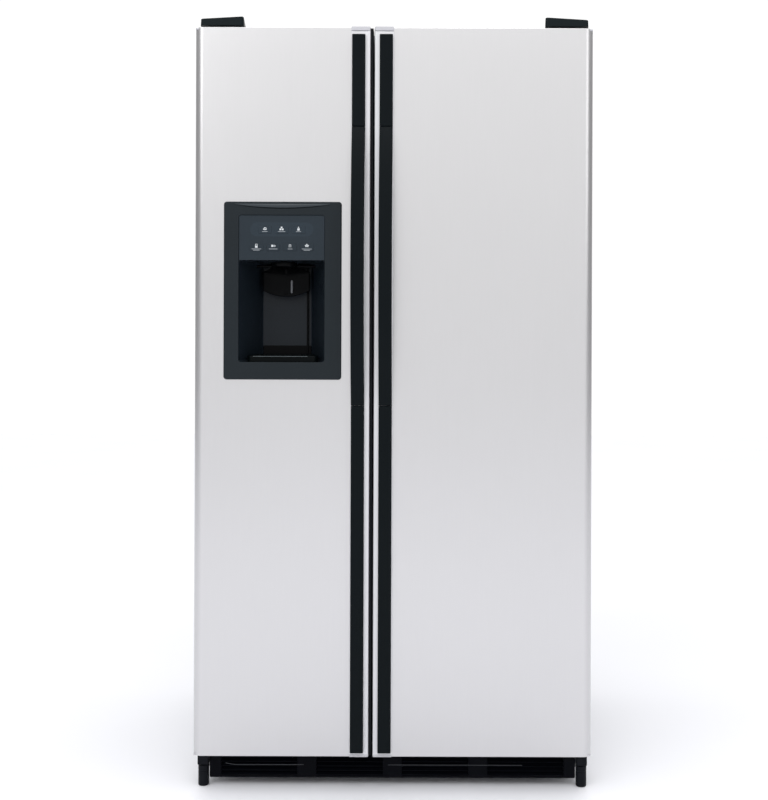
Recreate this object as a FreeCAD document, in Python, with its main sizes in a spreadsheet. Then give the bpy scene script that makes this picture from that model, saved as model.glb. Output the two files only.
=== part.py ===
import FreeCAD, Part
import os
import re
import Sketcher
from FreeCAD import Placement, Rotation, Vector

# A side-by-side refrigerator standing on its own legs and rollers.  +X is the right-hand side
# seen from the front, +Y runs into the cabinet, +Z is up, and the origin is the middle of the
# footprint on the floor.  All sizes are millimetres.

doc = FreeCAD.newDocument("Refrigerator")
dims = doc.addObject("Spreadsheet::Sheet", "Dims")

DIMENSIONS = {
    # cabinet
    "door_span": 908, "case_half": 451, "case_front": -291, "case_back": 433,
    "case_bottom": 28, "case_top": 1746, "steel": 1.2, "flange_bottom": 84, "foam_bottom": 100,
    "over": 1, "quarter_bow": 0.29,
    # the two food compartments
    "freezer_west": -404, "freezer_east": -73, "fresh_west": -25, "fresh_east": 404,
    "floor_level": 140, "ceiling": 1700, "room_back": 372, "hump_front": 170, "hump_top": 335,
    "liner": 2.5,
    # machine compartment
    "machine_front": 228, "machine_top": 290, "pan_level": 43, "pan_thick": 3,
    "rail_width": 26, "rail_height": 34, "rail_wall": 3, "cross_depth": 40, "cover_thick": 3,
    "cover_slot": 8, "cover_slot_pitch": 22, "cover_slot_long": 150, "cover_slots": 7,
    "cover_inset": 12, "cover_slot_low": 103, "cover_slot_middle": 200, "roller_room": 4,
    # doors
    "door_gap": 12, "door_depth": 80, "door_bottom": 81, "door_top": 1738, "door_split": -49,
    "split_gap": 8.6, "skin": 1.5, "edge_round": 20, "seam_round": 3, "door_plate": 2,
    "dike_wall": 24, "dike_deep": 42, "dike_low": 165, "dike_high": 1675,
    "dike_hinge_inset": 56, "dike_seam_inset": 40,
    "gasket_wide": 16, "gasket_thick": 11, "gasket_hinge_inset": 14, "gasket_seam_inset": 5,
    "gasket_end_inset": 11,
    # hinges
    "hinge_inset": 22, "hinge_depth": 40, "pin_radius": 5, "pin_play": 0.05, "pin_long": 20,
    "hinge_plate": 4, "plate_wide": 92, "plate_behind": 120, "plate_nose": 18,
    "cover_wide": 100, "hinge_cover_top": 1772, "hinge_cover_wall": 2.5, "cover_nose": 368,
    "cover_tail": 210, "cover_step": 9, "cover_outer_inset": 10,
    "bracket_block": 26, "bracket_low": 50, "bracket_foot_low": 45, "bracket_top": 80,
    "bracket_plate_low": 68,
    "screw_radius": 4, "screw_head": 7, "screw_head_high": 4,
    # legs, rollers and grille
    "leg_radius": 12.5, "leg_top": 48, "leg_round": 4, "stud_radius": 5, "stud_top": 70,
    "leg_inset": 15, "leg_depth": -337, "roller_radius": 25, "roller_wide": 20,
    "roller_back": 388, "roller_bore": 3.65, "axle_radius": 3.6, "roller_inset": 44,
    "roller_side_gap": 1.5, "grille_half": 422, "grille_low": 18, "grille_high": 78,
    "grille_front": -340, "grille_wall": 3, "grille_deep": 26, "louvre_high": 5,
    "louvre_pitch": 10, "louvre_count": 5, "louvre_post": 22, "louvre_field": 395,
    "clip_wide": 18, "clip_high": 10, "clip_back": -294, "clip_place": 330,
    # dispenser
    "well_middle": -254, "bezel_wide": 272, "bezel_low": 937, "bezel_high": 1341,
    "bezel_proud": 5, "bezel_round": 7, "well_wide": 194, "well_low": 977, "well_high": 1208,
    "panel_high": 1310, "well_deep": 115, "well_back_wide": 118, "well_back_low": 977,
    "well_wall": 3, "panel_thick": 12, "panel_sunk": 2, "key_wide": 31, "key_high": 17,
    "key_thick": 3, "key_pitch": 38.2, "key_upper": 1277, "key_lower": 1237.5, "key_play": 0.4,
    "key_proud": 1, "key_travel": 0.6, "bulge_low": 915, "bulge_high": 1365, "bulge_half": 132,
    "bulge_back": -240, "bulge_wall": 2, "pad_low": 1129, "pad_high": 1206, "pad_wide": 116,
    "pad_neck": 64, "pad_thick": 6, "pad_shoulder": 1186, "pad_plane": -296, "pad_corner": 1146,
    "pad_pin": 3, "pad_pin_long": 146, "pad_bow": 9, "tray_wide": 128, "tray_front": -368,
    "tray_back": -296,
    "tray_low": 978, "tray_high": 996, "tray_slot": 5, "tray_pitch": 12, "tray_wall": 4,
    # handles
    "handle_wide": 30, "handle_inset": 12, "trim_deep": 14, "handle_low": 92.5,
    "handle_high": 1726, "grip_low": 879, "grip_high": 1510, "handle_reach": 50,
    "grip_thick": 12, "grip_foot": 45, "handle_seam": 0.8,
    # door bins
    "freezer_bin_a": 200, "freezer_bin_b": 430, "freezer_bin_c": 660,
    "fresh_bin_a": 200, "fresh_bin_b": 520, "fresh_bin_c": 850, "fresh_bin_d": 1180,
    "bin_deep": 90, "bin_high": 105, "bin_wall": 3, "bin_side_gap": 8, "dairy_low": 1485,
    "dairy_high": 1625, "hood_rise": 9, "hood_reach": 98, "lid_thick": 3, "lid_pin": 2.5, "lid_gap": 1.5,
    # compartment fittings
    "front_line": -120, "freezer_shelf_a": 560, "freezer_shelf_b": 830,
    "freezer_shelf_c": 1110, "glass_shelf_a": 800, "glass_shelf_b": 1080,
    "glass_shelf_c": 1360, "shelf_gap": 2, "glass_thick": 4, "wire": 3, "rim": 3.5,
    "wire_pitch": 26, "shelf_back": 312, "duct_front": 318, "duct_thick": 3, "duct_gap": 1,
    "fan_level": 1180, "duct_hole": 55, "slot_low": 352, "slot_high": 360, "slot_rows": 4,
    "slot_step": 18, "drawer_wall": 3, "drawer_gap": 4, "crisper_low": 146, "crisper_high": 336,
    "crisper_divide": 340, "crisper_mid": 346, "crisper_top": 520, "crisper_roof": 530,
    "basket_low": 146, "basket_high": 330, "bucket_low": 1400, "bucket_high": 1530,
    "bucket_front": -150, "bucket_back": 150, "bucket_gap": 6, "maker_low": 1560,
    "maker_high": 1660, "maker_front": -90, "maker_back": 260, "maker_side": 60,
    "mould_wall": 4, "arm_radius": 2.5, "arm_drop": 22, "arm_reach": 120,
    "housing_low": 1640, "housing_high": 1699, "housing_front": -200, "housing_back": 60,
    "housing_gap": 8, "housing_wall": 2.5, "dial_radius": 18, "dial_deep": 14,
    "dial_shaft": 3, "dial_play": 0.05, "dial_level": 1670, "dial_spread": 90, "dial_bar": 6,
    # cooling
    "coil_west": -384, "coil_east": -93, "coil_low": 420, "coil_high": 800, "coil_front": 327,
    "coil_back": 366, "tube": 4, "fin": 1, "fin_count": 18, "tube_rows": 7,
    "condenser_west": -60, "condenser_east": 130, "condenser_low": 62, "condenser_high": 222,
    "condenser_front": 300, "condenser_back": 400, "condenser_fins": 18, "can_radius": 78,
    "can_high": 172, "can_dome": 26, "can_x": -250, "can_y": 330, "foot_high": 12,
    "foot_spread": 80, "foot_along": 48, "plate_half": 64, "foot_radius": 12,
    "fan_hub": 18, "fan_long": 18, "evaporator_fan_tip": 48,
    "condenser_fan_tip": 72, "blade_thick": 2.5, "blade_wide": 30, "shaft_radius": 3,
    "shaft_play": 0.05, "motor_radius": 27, "motor_long": 24, "blade_count": 5,
    "condenser_fan_x": -100, "condenser_fan_y": 345, "condenser_fan_z": 145,
    "evaporator_fan_y": 324, "valve_x": 330, "valve_wide": 60, "valve_low": 110,
    "valve_high": 160, "valve_front": 372, "valve_back": 414, "inlet_radius": 13.2,
    "inlet_long": 18, "inlet_bore": 9, "notch_radius": 26,
}

for row, (alias, value) in enumerate(DIMENSIONS.items(), start=1):
    dims.set("A%d" % row, alias)
    dims.set("B%d" % row, str(value))
    dims.setAlias("B%d" % row, alias)
doc.recompute()

nodes = []
X_AXIS = Rotation(Vector(0, 1, 0), 90)
Y_AXIS = Rotation(Vector(1, 0, 0), -90)
Z_AXIS = Rotation()


def bound(text):
    """Turn the bare names in a sum into references to the sheet."""
    return re.sub(r"[a-z_]+", lambda word: "Dims." + word.group(0), str(text))


def number(text):
    """The present value of a sum of dimensions."""
    return float(dims.evalExpression(bound(text)))


def place(thing, point, turn=Z_AXIS):
    """Stand an object at a point given as three sums."""
    thing.Placement = Placement(Vector(), turn)
    for axis, text in zip("xyz", point):
        thing.setExpression("Placement.Base." + axis, bound(text))
    return thing


def node(thing):
    """Keep a finished piece for the list of files."""
    nodes.append(thing)
    return thing


def box(name, low, high):
    """A box between two opposite corners."""
    solid = doc.addObject("Part::Box", name)
    for side, start, end in zip(("Length", "Width", "Height"), low, high):
        solid.setExpression(side, bound("(%s) - (%s)" % (end, start)))
    return place(solid, low)


def rod(name, start, radius, length, turn=Z_AXIS):
    """A round bar from a point, along the turned Z axis."""
    solid = doc.addObject("Part::Cylinder", name)
    solid.setExpression("Radius", bound(radius))
    solid.setExpression("Height", bound(length))
    return place(solid, start, turn)


def fuse(name, *parts):
    """One solid from pieces that meet."""
    solid = doc.addObject("Part::MultiFuse", name)
    solid.Shapes = list(parts)
    solid.Refine = True
    return solid


def group(name, *parts):
    """Separate solids kept as one piece."""
    bundle = doc.addObject("Part::Compound", name)
    bundle.Links = list(parts)
    return bundle


def cut(name, base, *tools):
    """Take tools out of a base."""
    solid = doc.addObject("Part::Cut", name)
    solid.Base = base
    solid.Tool = tools[0] if len(tools) == 1 else group(name + "_tools", *tools)
    return solid


def frame_ring(name, low, high, wall):
    """An upright rectangular ring, open along Y."""
    hole_low = ("%s + %s" % (low[0], wall), "%s - over" % low[1], "%s + %s" % (low[2], wall))
    hole_high = ("%s - %s" % (high[0], wall), "%s + over" % high[1], "%s - %s" % (high[2], wall))
    return cut(name, box(name + "_block", low, high), box(name + "_hole", hole_low, hole_high))


def tub(name, low, high, wall):
    """A box with a floor and four walls, open at the top."""
    hole_low = tuple("%s + %s" % (text, wall) for text in low)
    hole_high = ("%s - %s" % (high[0], wall), "%s - %s" % (high[1], wall), "%s + over" % high[2])
    return cut(name, box(name + "_block", low, high), box(name + "_hole", hole_low, hole_high))


def new_body(name, point, turn=Z_AXIS):
    """A PartDesign body standing at a point."""
    return place(doc.addObject("PartDesign::Body", name), point, turn)


def sketch(owner, name, plane):
    """A sketch on one of the body's own origin planes."""
    drawing = owner.newObject("Sketcher::SketchObject", name)
    support = next(item for item in owner.Origin.OriginFeatures if item.Role == plane)
    drawing.AttachmentSupport = [(support, "")]
    drawing.MapMode = "FlatFace"
    return drawing


def outline(drawing, corners):
    """A closed outline.  A corner is (across, up), or (across, up, bow) where an arc that
    stands out to the left of its chord by bow leads to the next corner."""
    spots = [Vector(number(corner[0]), number(corner[1]), 0) for corner in corners]
    ends = []
    for index, corner in enumerate(corners):
        start, end = spots[index], spots[(index + 1) % len(spots)]
        if len(corner) == 2:
            drawing.addGeometry(Part.LineSegment(start, end))
            ends.append((1, 2))
            continue
        chord = end - start
        side = Vector(-chord.y, chord.x, 0).normalize() * number(corner[2])
        clockwise = number(corner[2]) > 0
        first, last = (end, start) if clockwise else (start, end)
        drawing.addGeometry(Part.Arc(first, (start + end) * 0.5 + side, last))
        ends.append((2, 1) if clockwise else (1, 2))
    for index, (first, last) in enumerate(ends):
        after = (index + 1) % len(ends)
        drawing.addConstraint(Sketcher.Constraint("Coincident", index, last, after, ends[after][0]))
    for index, corner in enumerate(corners):
        hold(drawing, index, ends[index][0], corner)
        if len(corner) == 3:
            bend(drawing, index, corner, corners[(index + 1) % len(corners)])


def hold(drawing, index, spot, corner):
    """Fix a corner by its two distances from the sketch's origin."""
    for kind, text, axis in (("DistanceX", corner[0], -2), ("DistanceY", corner[1], -1)):
        if number(text) == 0:
            drawing.addConstraint(Sketcher.Constraint("PointOnObject", index, spot, axis))
            continue
        rule = Sketcher.Constraint(kind, -1, 1, index, spot, number(text))
        drawing.setExpression("Constraints[%d]" % drawing.addConstraint(rule), bound(text))


def bend(drawing, index, corner, after):
    """Fix an arc's radius from its chord and bow."""
    across = "((%s) - (%s))" % (after[0], corner[0])
    up = "((%s) - (%s))" % (after[1], corner[1])
    bow = "(%s)" % corner[2]
    size = "1" if number(corner[2]) > 0 else "-1"
    text = "((%s * %s + %s * %s) / (8 * %s) + %s / 2) * %s" % (
        across, across, up, up, bow, bow, size)
    rule = Sketcher.Constraint("Radius", index, number(text))
    drawing.setExpression("Constraints[%d]" % drawing.addConstraint(rule), bound(text))


def pad(owner, name, plane, corners, length, middle=False, back=False):
    """A Pad of an outline."""
    drawing = sketch(owner, name + "_sketch", plane)
    outline(drawing, corners)
    feature = owner.newObject("PartDesign::Pad", name)
    feature.Profile = drawing
    feature.SideType = "Symmetric" if middle else "One side"
    feature.Reversed = back
    feature.setExpression("Length", bound(length))
    doc.recompute()
    return feature


def turned(owner, name, corners):
    """A full Revolution about the body's Z axis of an outline in its XZ plane."""
    drawing = sketch(owner, name + "_sketch", "XZ_Plane")
    outline(drawing, corners)
    feature = owner.newObject("PartDesign::Revolution", name)
    feature.Profile = drawing
    feature.ReferenceAxis = (drawing, ["V_Axis"])
    feature.Angle = 360
    doc.recompute()
    return feature


def round_edges(owner, name, radius, wanted):
    """A Fillet on the edges of the body's tip whose middle and direction are wanted."""
    tip = owner.Tip
    picked = []
    for index, edge in enumerate(tip.Shape.Edges, start=1):
        span = edge.Vertexes[-1].Point - edge.Vertexes[0].Point
        if wanted(edge.CenterOfMass, span):
            picked.append("Edge%d" % index)
    feature = owner.newObject("PartDesign::Fillet", name)
    feature.Base = (tip, picked)
    feature.setExpression("Radius", bound(radius))
    doc.recompute()
    return feature


def around_z(owner, name, feature, count):
    """Repeat a feature evenly about the body's Z axis."""
    pattern = owner.newObject("PartDesign::PolarPattern", name)
    pattern.Originals = [feature]
    axis = next(item for item in owner.Origin.OriginFeatures if item.Role == "Z_Axis")
    pattern.Axis = (axis, [""])
    pattern.Angle = 360
    pattern.setExpression("Occurrences", bound(count))
    owner.Tip = pattern
    doc.recompute()
    return pattern


SIDES = (("left", "-"), ("right", ""))


def signed(sign, text):
    """A sum, or its mirror image on the left-hand side."""
    return "-(%s)" % text if sign == "-" else text


def between(sign, near, far):
    """The low and high X of a stretch given by its distances from the middle, on one side."""
    if sign == "-":
        return "-(%s)" % far, "-(%s)" % near
    return near, far


# ---------------------------------------------------------------- cabinet


def room(name, west, east, front, grow):
    """The L-shaped space of one compartment, stepped over the machine compartment."""
    low = ("%s - %s" % (west, grow), front, "floor_level - %s" % grow)
    high = ("%s + %s" % (east, grow), "hump_front + %s" % grow, "ceiling + %s" % grow)
    rear_low = (low[0], front, "hump_top - %s" % grow)
    rear_high = (high[0], "room_back + %s" % grow, high[2])
    return fuse(name, box(name + "_front", low, high), box(name + "_rear", rear_low, rear_high))


freezer_outer = room("freezer_outer", "freezer_west", "freezer_east", "case_front + steel", "liner")
fresh_outer = room("fresh_outer", "fresh_west", "fresh_east", "case_front + steel", "liner")
freezer_inner = room("freezer_inner", "freezer_west", "freezer_east", "case_front - over", "0")
fresh_inner = room("fresh_inner", "fresh_west", "fresh_east", "case_front - over", "0")


def cabinet_shell():
    """The painted steel wrap: two sides, the top, and the front flange with its mullion."""
    outer = box("shell_block", ("-case_half", "case_front", "case_bottom"),
                ("case_half", "case_back", "case_top"))
    hollow = box("shell_hollow", ("-case_half + steel", "case_front + steel", "case_bottom - over"),
                 ("case_half - steel", "case_back + over", "case_top - steel"))
    toe = box("shell_toe", ("-case_half + steel", "case_front - over", "case_bottom - over"),
              ("case_half - steel", "case_front + steel + over", "flange_bottom"))
    return cut("cabinet_shell", outer, hollow, toe, freezer_inner, fresh_inner)


def cabinet_foam():
    """The foamed insulation between the wrap and the two liners."""
    block = box("foam_block", ("-case_half + steel", "case_front + steel", "foam_bottom"),
                ("case_half - steel", "case_back - steel", "case_top - steel"))
    machine = box("foam_machine", ("-case_half", "machine_front", "foam_bottom - over"),
                  ("case_half", "case_back", "machine_top"))
    return cut("cabinet_foam", block, machine, freezer_outer, fresh_outer)


def back_panel():
    """The steel sheet across the back, above the machine compartment."""
    return box("back_panel", ("-case_half + steel", "case_back - steel", "machine_top"),
               ("case_half - steel", "case_back", "case_top - steel"))


def rear_cover():
    """The slotted board that closes the machine compartment."""
    board = box("cover_board", ("-case_half + cover_inset", "case_back - cover_thick", "pan_level"),
                ("case_half - cover_inset", "case_back", "machine_top - over"))
    slots = []
    for side in ("-", ""):
        for index in range(int(number("cover_slots"))):
            level = "cover_slot_low + %d * cover_slot_pitch" % index
            middle = "%scover_slot_middle" % side
            slots.append(box("cover_slot_%d" % len(slots),
                             ("%s - cover_slot_long / 2" % middle, "case_back - cover_thick - over",
                              level),
                             ("%s + cover_slot_long / 2" % middle, "case_back + over",
                              level + " + cover_slot")))
    notch = rod("cover_notch", ("valve_x", "case_back - cover_thick - over",
                                "(valve_low + valve_high) / 2"),
                "notch_radius", "cover_thick + 2 * over", Y_AXIS)
    return cut("rear_cover", board, notch, *slots)


def base_frame():
    """Two side rails, a front and a rear cross member, the machine pan and the roller axles."""
    pieces = []
    for side, sign in (("left", "-"), ("right", "")):
        inner = "%s(case_half - steel - rail_width)" % sign
        outer = "%s(case_half - steel)" % sign
        low, high = (outer, inner) if sign else (inner, outer)
        rail = box("rail_" + side, (low, "case_front + steel", "case_bottom + over"),
                   (high, "case_back - cover_thick - over", "case_bottom + over + rail_height"))
        groove_low = low if sign else "%s + rail_wall" % low
        groove_high = "%s - rail_wall" % high if sign else high
        groove = box("rail_groove_" + side,
                     (groove_low, "case_front", "case_bottom + over + rail_wall"),
                     (groove_high, "case_back", "case_bottom + over + rail_height - rail_wall"))
        pieces.append(cut("rail_channel_" + side, rail, groove))
        wheel_face = "roller_inset + roller_wide + roller_side_gap"
        start = "-case_half + steel" if sign else "case_half - steel - (%s)" % wheel_face
        pieces.append(rod("axle_" + side, (start, "roller_back", "roller_radius"),
                          "axle_radius", wheel_face, X_AXIS))
        web_low, web_high = between(sign, "case_half - steel - rail_width",
                                    "case_half - steel - rail_width + rail_wall")
        pieces.append(box("axle_plate_" + side,
                          (web_low, "roller_back - 3 * axle_radius",
                           "roller_radius - 2 * axle_radius"),
                          (web_high, "roller_back + 3 * axle_radius",
                           "case_bottom + over + rail_wall")))
    pieces.append(box("cross_front", ("-case_half + steel", "case_front + steel",
                                      "case_bottom + over + rail_height"),
                      ("case_half - steel", "case_front + steel + cross_depth",
                       "case_bottom + over + rail_height + rail_wall")))
    pieces.append(box("machine_pan", ("-case_half + steel + rail_width - over", "machine_front",
                                      "pan_level"),
                      ("case_half - steel - rail_width + over",
                       "case_back - cover_thick - over", "pan_level + pan_thick")))
    return pieces


for make in (cabinet_shell, cabinet_foam, back_panel, rear_cover):
    node(make())
node(cut("freezer_liner", freezer_outer, freezer_inner))
node(cut("fresh_food_liner", fresh_outer, fresh_inner))

# the pan is notched where the rollers stand up through it
wells = [box("roller_well_" + side,
             (low, "roller_back - roller_radius - roller_room", "case_bottom - over"),
             (high, "roller_back + roller_radius + roller_room", "pan_level + pan_thick + over"))
         for side, low, high in (
             ("left", "-case_half + steel + rail_width - over",
              "-case_half + roller_inset + roller_wide + roller_room"),
             ("right", "case_half - roller_inset - roller_wide - roller_room",
              "case_half - steel - rail_width + over"))]
frame_pieces = base_frame()
pan_cut = cut("machine_pan_notched", frame_pieces[-1], *wells)
node(fuse("base_frame", *frame_pieces[:-1], pan_cut))

# ---------------------------------------------------------------- hinges and screws


PIVOT = "door_span / 2 - hinge_inset"
PIVOT_Y = "case_front - door_gap - door_depth + hinge_depth"
DOOR_FRONT = "(case_front - door_gap - door_depth)"
DOOR_BACK = "(case_front - door_gap)"


def top_hinges():
    """Two steel plates screwed to the cabinet top, each with a pin down into its door."""
    hinges = []
    for side, sign in SIDES:
        low, high = between(sign, "(%s) + plate_nose / 2 - plate_wide" % PIVOT,
                            "(%s) + plate_nose / 2" % PIVOT)
        plate = box("top_plate_" + side, (low, PIVOT_Y + " - plate_nose / 2", "case_top"),
                    (high, PIVOT_Y + " + plate_behind", "case_top + hinge_plate"))
        pin = rod("top_pin_" + side, (signed(sign, PIVOT), PIVOT_Y, "door_top - pin_long"),
                  "pin_radius", "case_top + hinge_plate - door_top + pin_long")
        holes = [rod("top_hole_%s_%d" % (side, index),
                     (signed(sign, "(%s) - plate_wide / 2 + %s" % (PIVOT, shift)),
                      "case_front + cross_depth", "case_top - over"),
                     "screw_radius", "hinge_plate + 2 * over")
                 for index, shift in enumerate(("0", "plate_wide / 4"))]
        hinges.append(cut("top_hinge_" + side, fuse("top_leaf_" + side, plate, pin), *holes))
    return group("top_hinges", *hinges)


def hinge_screws():
    """Hexagon-headed screws that hold the top hinges."""
    screws = []
    for side, sign in SIDES:
        for index, shift in enumerate(("0", "plate_wide / 4")):
            spot = (signed(sign, "(%s) - plate_wide / 2 + %s" % (PIVOT, shift)),
                    "case_front + cross_depth", "case_top + hinge_plate")
            name = "screw_%s_%d" % (side, index)
            shank = rod(name + "_shank", (spot[0], spot[1], "case_top + over"),
                        "screw_radius - over / 2", "hinge_plate")
            head = doc.addObject("Part::Prism", name + "_head")
            head.Polygon = 6
            head.setExpression("Circumradius", bound("screw_head"))
            head.setExpression("Height", bound("screw_head_high"))
            screws.append(fuse(name, shank, place(head, spot)))
    return group("hinge_screws", *screws)


def hinge_covers():
    """Two moulded covers over the top hinges, lower at their outer ends."""
    covers = []
    for side, sign in SIDES:
        near = "door_span / 2 - cover_outer_inset - cover_wide"
        far = "door_span / 2 - cover_outer_inset"
        low, high = between(sign, near, far)
        block = box("cover_block_" + side, (low, "-cover_nose", "case_top + over / 4"),
                    (high, "-cover_tail", "hinge_cover_top"))
        low, high = between(sign, "%s + hinge_cover_wall" % near, "%s - hinge_cover_wall" % far)
        room_inside = box("cover_room_" + side,
                          (low, "-cover_nose + hinge_cover_wall", "case_top - over"),
                          (high, "-cover_tail - hinge_cover_wall",
                           "hinge_cover_top - hinge_cover_wall - cover_step / 2"))
        low, high = between(sign, "%s - cover_step" % far, "%s + over" % far)
        step = box("cover_step_" + side, (low, "-cover_nose - over",
                                          "hinge_cover_top - cover_step / 2"),
                   (high, "-cover_tail + over", "hinge_cover_top + over"))
        covers.append(cut("hinge_cover_" + side, block, room_inside, step))
    return group("hinge_covers", *covers)


def bottom_hinges():
    """Two cast brackets under the doors' outer corners, each with a pin up into its door and a
    threaded hole for a levelling leg."""
    hinges = []
    for side, sign in SIDES:
        near = "case_half - leg_inset + leg_radius - bracket_block"
        low, high = between(sign, near, "case_half - leg_inset + leg_radius")
        block = box("bracket_block_" + side, (low, "leg_depth - leg_radius", "bracket_low"),
                    (high, "leg_depth + leg_radius", "bracket_top"))
        arm = box("bracket_arm_" + side, (low, "leg_depth", "bracket_plate_low"),
                  (high, "case_front + steel", "bracket_plate_low + hinge_plate"))
        foot = box("bracket_foot_" + side, (low, "case_front - hinge_plate",
                                            "bracket_foot_low"),
                   (high, "case_front + steel", "bracket_top - over"))
        collar = rod("bracket_collar_" + side, (signed(sign, PIVOT), PIVOT_Y, "bracket_plate_low"),
                     "2 * pin_radius", "bracket_top - bracket_plate_low")
        pin = rod("bottom_pin_" + side, (signed(sign, PIVOT), PIVOT_Y, "bracket_top - over"),
                  "pin_radius", "pin_long")
        bore = rod("bracket_bore_" + side, (signed(sign, "case_half - leg_inset"), "leg_depth",
                                            "bracket_low - over"),
                   "stud_radius + pin_play", "stud_top - bracket_low + 2 * over")
        hinges.append(cut("bottom_hinge_" + side,
                          fuse("bracket_" + side, block, arm, foot, collar, pin), bore))
    return group("bottom_hinges", *hinges)


for make in (top_hinges, hinge_screws, hinge_covers, bottom_hinges):
    node(make())


# ---------------------------------------------------------------- legs, rollers, grille


def leveling_leg(side, sign):
    """A round foot with a stud that screws up into the bottom hinge."""
    leg = new_body("leveling_leg_" + side, (signed(sign, "case_half - leg_inset"), "leg_depth", 0))
    turned(leg, "leg_turned_" + side, [
        ("0", "0"), ("leg_radius - leg_round", "0", "-leg_round * quarter_bow"),
        ("leg_radius", "leg_round"), ("leg_radius", "leg_top"), ("stud_radius", "leg_top"),
        ("stud_radius", "stud_top"), ("0", "stud_top")])
    return leg


def rear_roller(side, sign):
    """A moulded wheel with a crowned tread, bored for its axle."""
    start = signed(sign, "case_half - roller_inset - roller_wide / 2")
    wheel = new_body("rear_roller_" + side, (start, "roller_back", "roller_radius"), X_AXIS)
    turned(wheel, "roller_turned_" + side, [
        ("roller_bore", "-roller_wide / 2"),
        ("roller_radius - over", "-roller_wide / 2", "-over"),
        ("roller_radius - over", "roller_wide / 2"), ("roller_bore", "roller_wide / 2")])
    return wheel


def base_grille():
    """The toe grille: a front wall with rows of louvre slots between posts, and two clips."""
    front = box("grille_front_wall", ("-grille_half", "grille_front", "grille_low"),
                ("grille_half", "grille_front + grille_wall", "grille_high"))
    lip = box("grille_top_lip", ("-grille_half", "grille_front", "grille_high - grille_wall"),
              ("grille_half", "grille_front + grille_deep", "grille_high"))
    clips = []
    for side, sign in SIDES:
        low, high = between(sign, "clip_place", "clip_place + clip_wide")
        clips.append(box("grille_clip_" + side,
                         (low, "grille_front + grille_wall - over", "grille_high - clip_high"),
                         (high, "clip_back", "grille_high")))
    bays = (("-louvre_field", "-louvre_field / 2 - louvre_post"),
            ("-louvre_field / 2 + louvre_post", "-louvre_post"),
            ("louvre_post", "louvre_field / 2 - louvre_post"),
            ("louvre_field / 2 + louvre_post", "louvre_field"))
    slots = []
    for row in range(int(number("louvre_count"))):
        level = "grille_low + louvre_high + %d * louvre_pitch" % row
        for low, high in bays:
            slots.append(box("louvre_%d" % len(slots), (low, "grille_front - over", level),
                             (high, "grille_front + grille_wall + over",
                              level + " + louvre_high")))
    return cut("base_grille", fuse("grille_body", front, lip, *clips), *slots)


for side, sign in SIDES:
    node(leveling_leg(side, sign))
    node(rear_roller(side, sign))
node(base_grille())


# ---------------------------------------------------------------- doors


class Door:
    """The edges of one door: west and east sides, and which of them carries the hinge."""

    def __init__(self, name, west, east, hinge_sign):
        self.name = name
        self.west = west
        self.east = east
        self.hinge = hinge_sign

    def span(self, hinge_inset, seam_inset):
        """Low and high X after insetting the hinged edge and the edge at the other door."""
        if self.hinge == "-":
            return "%s + %s" % (self.west, hinge_inset), "%s - (%s)" % (self.east, seam_inset)
        return "%s + %s" % (self.west, seam_inset), "%s - (%s)" % (self.east, hinge_inset)


FREEZER = Door("freezer_door", "-door_span / 2", "(door_split - split_gap / 2)", "-")
FRESH = Door("fresh_door", "(door_split + split_gap / 2)", "door_span / 2", "")


def door_block(door, name, inset, back):
    """A door-shaped block with both front corners rounded, shrunk by inset on every side."""
    low, high = door.span(inset, inset)
    block = new_body(name, (low, DOOR_FRONT + " + " + inset, "door_bottom + " + inset))
    wide = "(%s) - (%s)" % (high, low)
    deep = "(%s) - (%s) - (%s)" % (back, DOOR_FRONT, inset)
    pad(block, name + "_pad", "XY_Plane", [("0", "0"), (wide, "0"), (wide, deep), ("0", deep)],
        "door_top - door_bottom - 2 * " + inset)
    hinge_x = 0 if door.hinge == "-" else number(wide)
    near = number("over")
    for edge, radius in (("hinge", "edge_round - " + inset), ("seam", "seam_round - " + inset)):
        at_x = hinge_x if edge == "hinge" else number(wide) - hinge_x
        round_edges(block, "%s_%s_round" % (name, edge), radius,
                    lambda middle, span: abs(span.z) > number("case_half")
                    and abs(middle.x - at_x) < near and abs(middle.y) < near)
    return block


def hinge_bores(door):
    """The two holes for the hinge pins."""
    spot = signed(door.hinge, PIVOT)
    return [rod(door.name + "_bore_" + end, (spot, PIVOT_Y, level), "pin_radius + pin_play",
                "pin_long + 2 * over")
            for end, level in (("low", "door_bottom - over"), ("high", "door_top - pin_long - over"))]


def dispenser_hole(name, back):
    """The opening through the freezer door's front for the dispenser."""
    return box(name, ("well_middle - well_wide / 2 - well_wall", DOOR_FRONT + " - bezel_round",
                      "well_low - well_wall"),
               ("well_middle + well_wide / 2 + well_wall", back, "panel_high + well_wall"))


def door_skin(door, extra):
    """The stainless steel door shell: front, sides and ends, open at the back."""
    outer = door_block(door, door.name + "_outer", "0", DOOR_BACK)
    inner = door_block(door, door.name + "_inner", "skin", DOOR_BACK + " + over")
    return cut(door.name + "_skin", outer, inner, *hinge_bores(door), *extra)


def door_foam(door, extra):
    """The insulation that fills the door shell."""
    block = door_block(door, door.name + "_fill", "skin", DOOR_BACK + " - door_plate")
    return cut(door.name + "_foam", block, *hinge_bores(door), *extra)


def door_liner(door, extra_solids, extra_holes):
    """The moulded inner panel with the raised dike that enters the compartment."""
    low, high = door.span("skin", "skin")
    plate = box(door.name + "_plate", (low, DOOR_BACK + " - door_plate", "door_bottom + skin"),
                (high, DOOR_BACK, "door_top - skin"))
    low, high = door.span("dike_hinge_inset", "dike_seam_inset")
    dike = frame_ring(door.name + "_dike", (low, DOOR_BACK + " - door_plate / 2", "dike_low"),
                      (high, DOOR_BACK + " + dike_deep", "dike_high"), "dike_wall")
    panel = fuse(door.name + "_panel", plate, dike, *extra_solids)
    if not extra_holes:
        panel.Label = door.name + "_liner"
        return panel
    return cut(door.name + "_liner", panel, *extra_holes)


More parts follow.
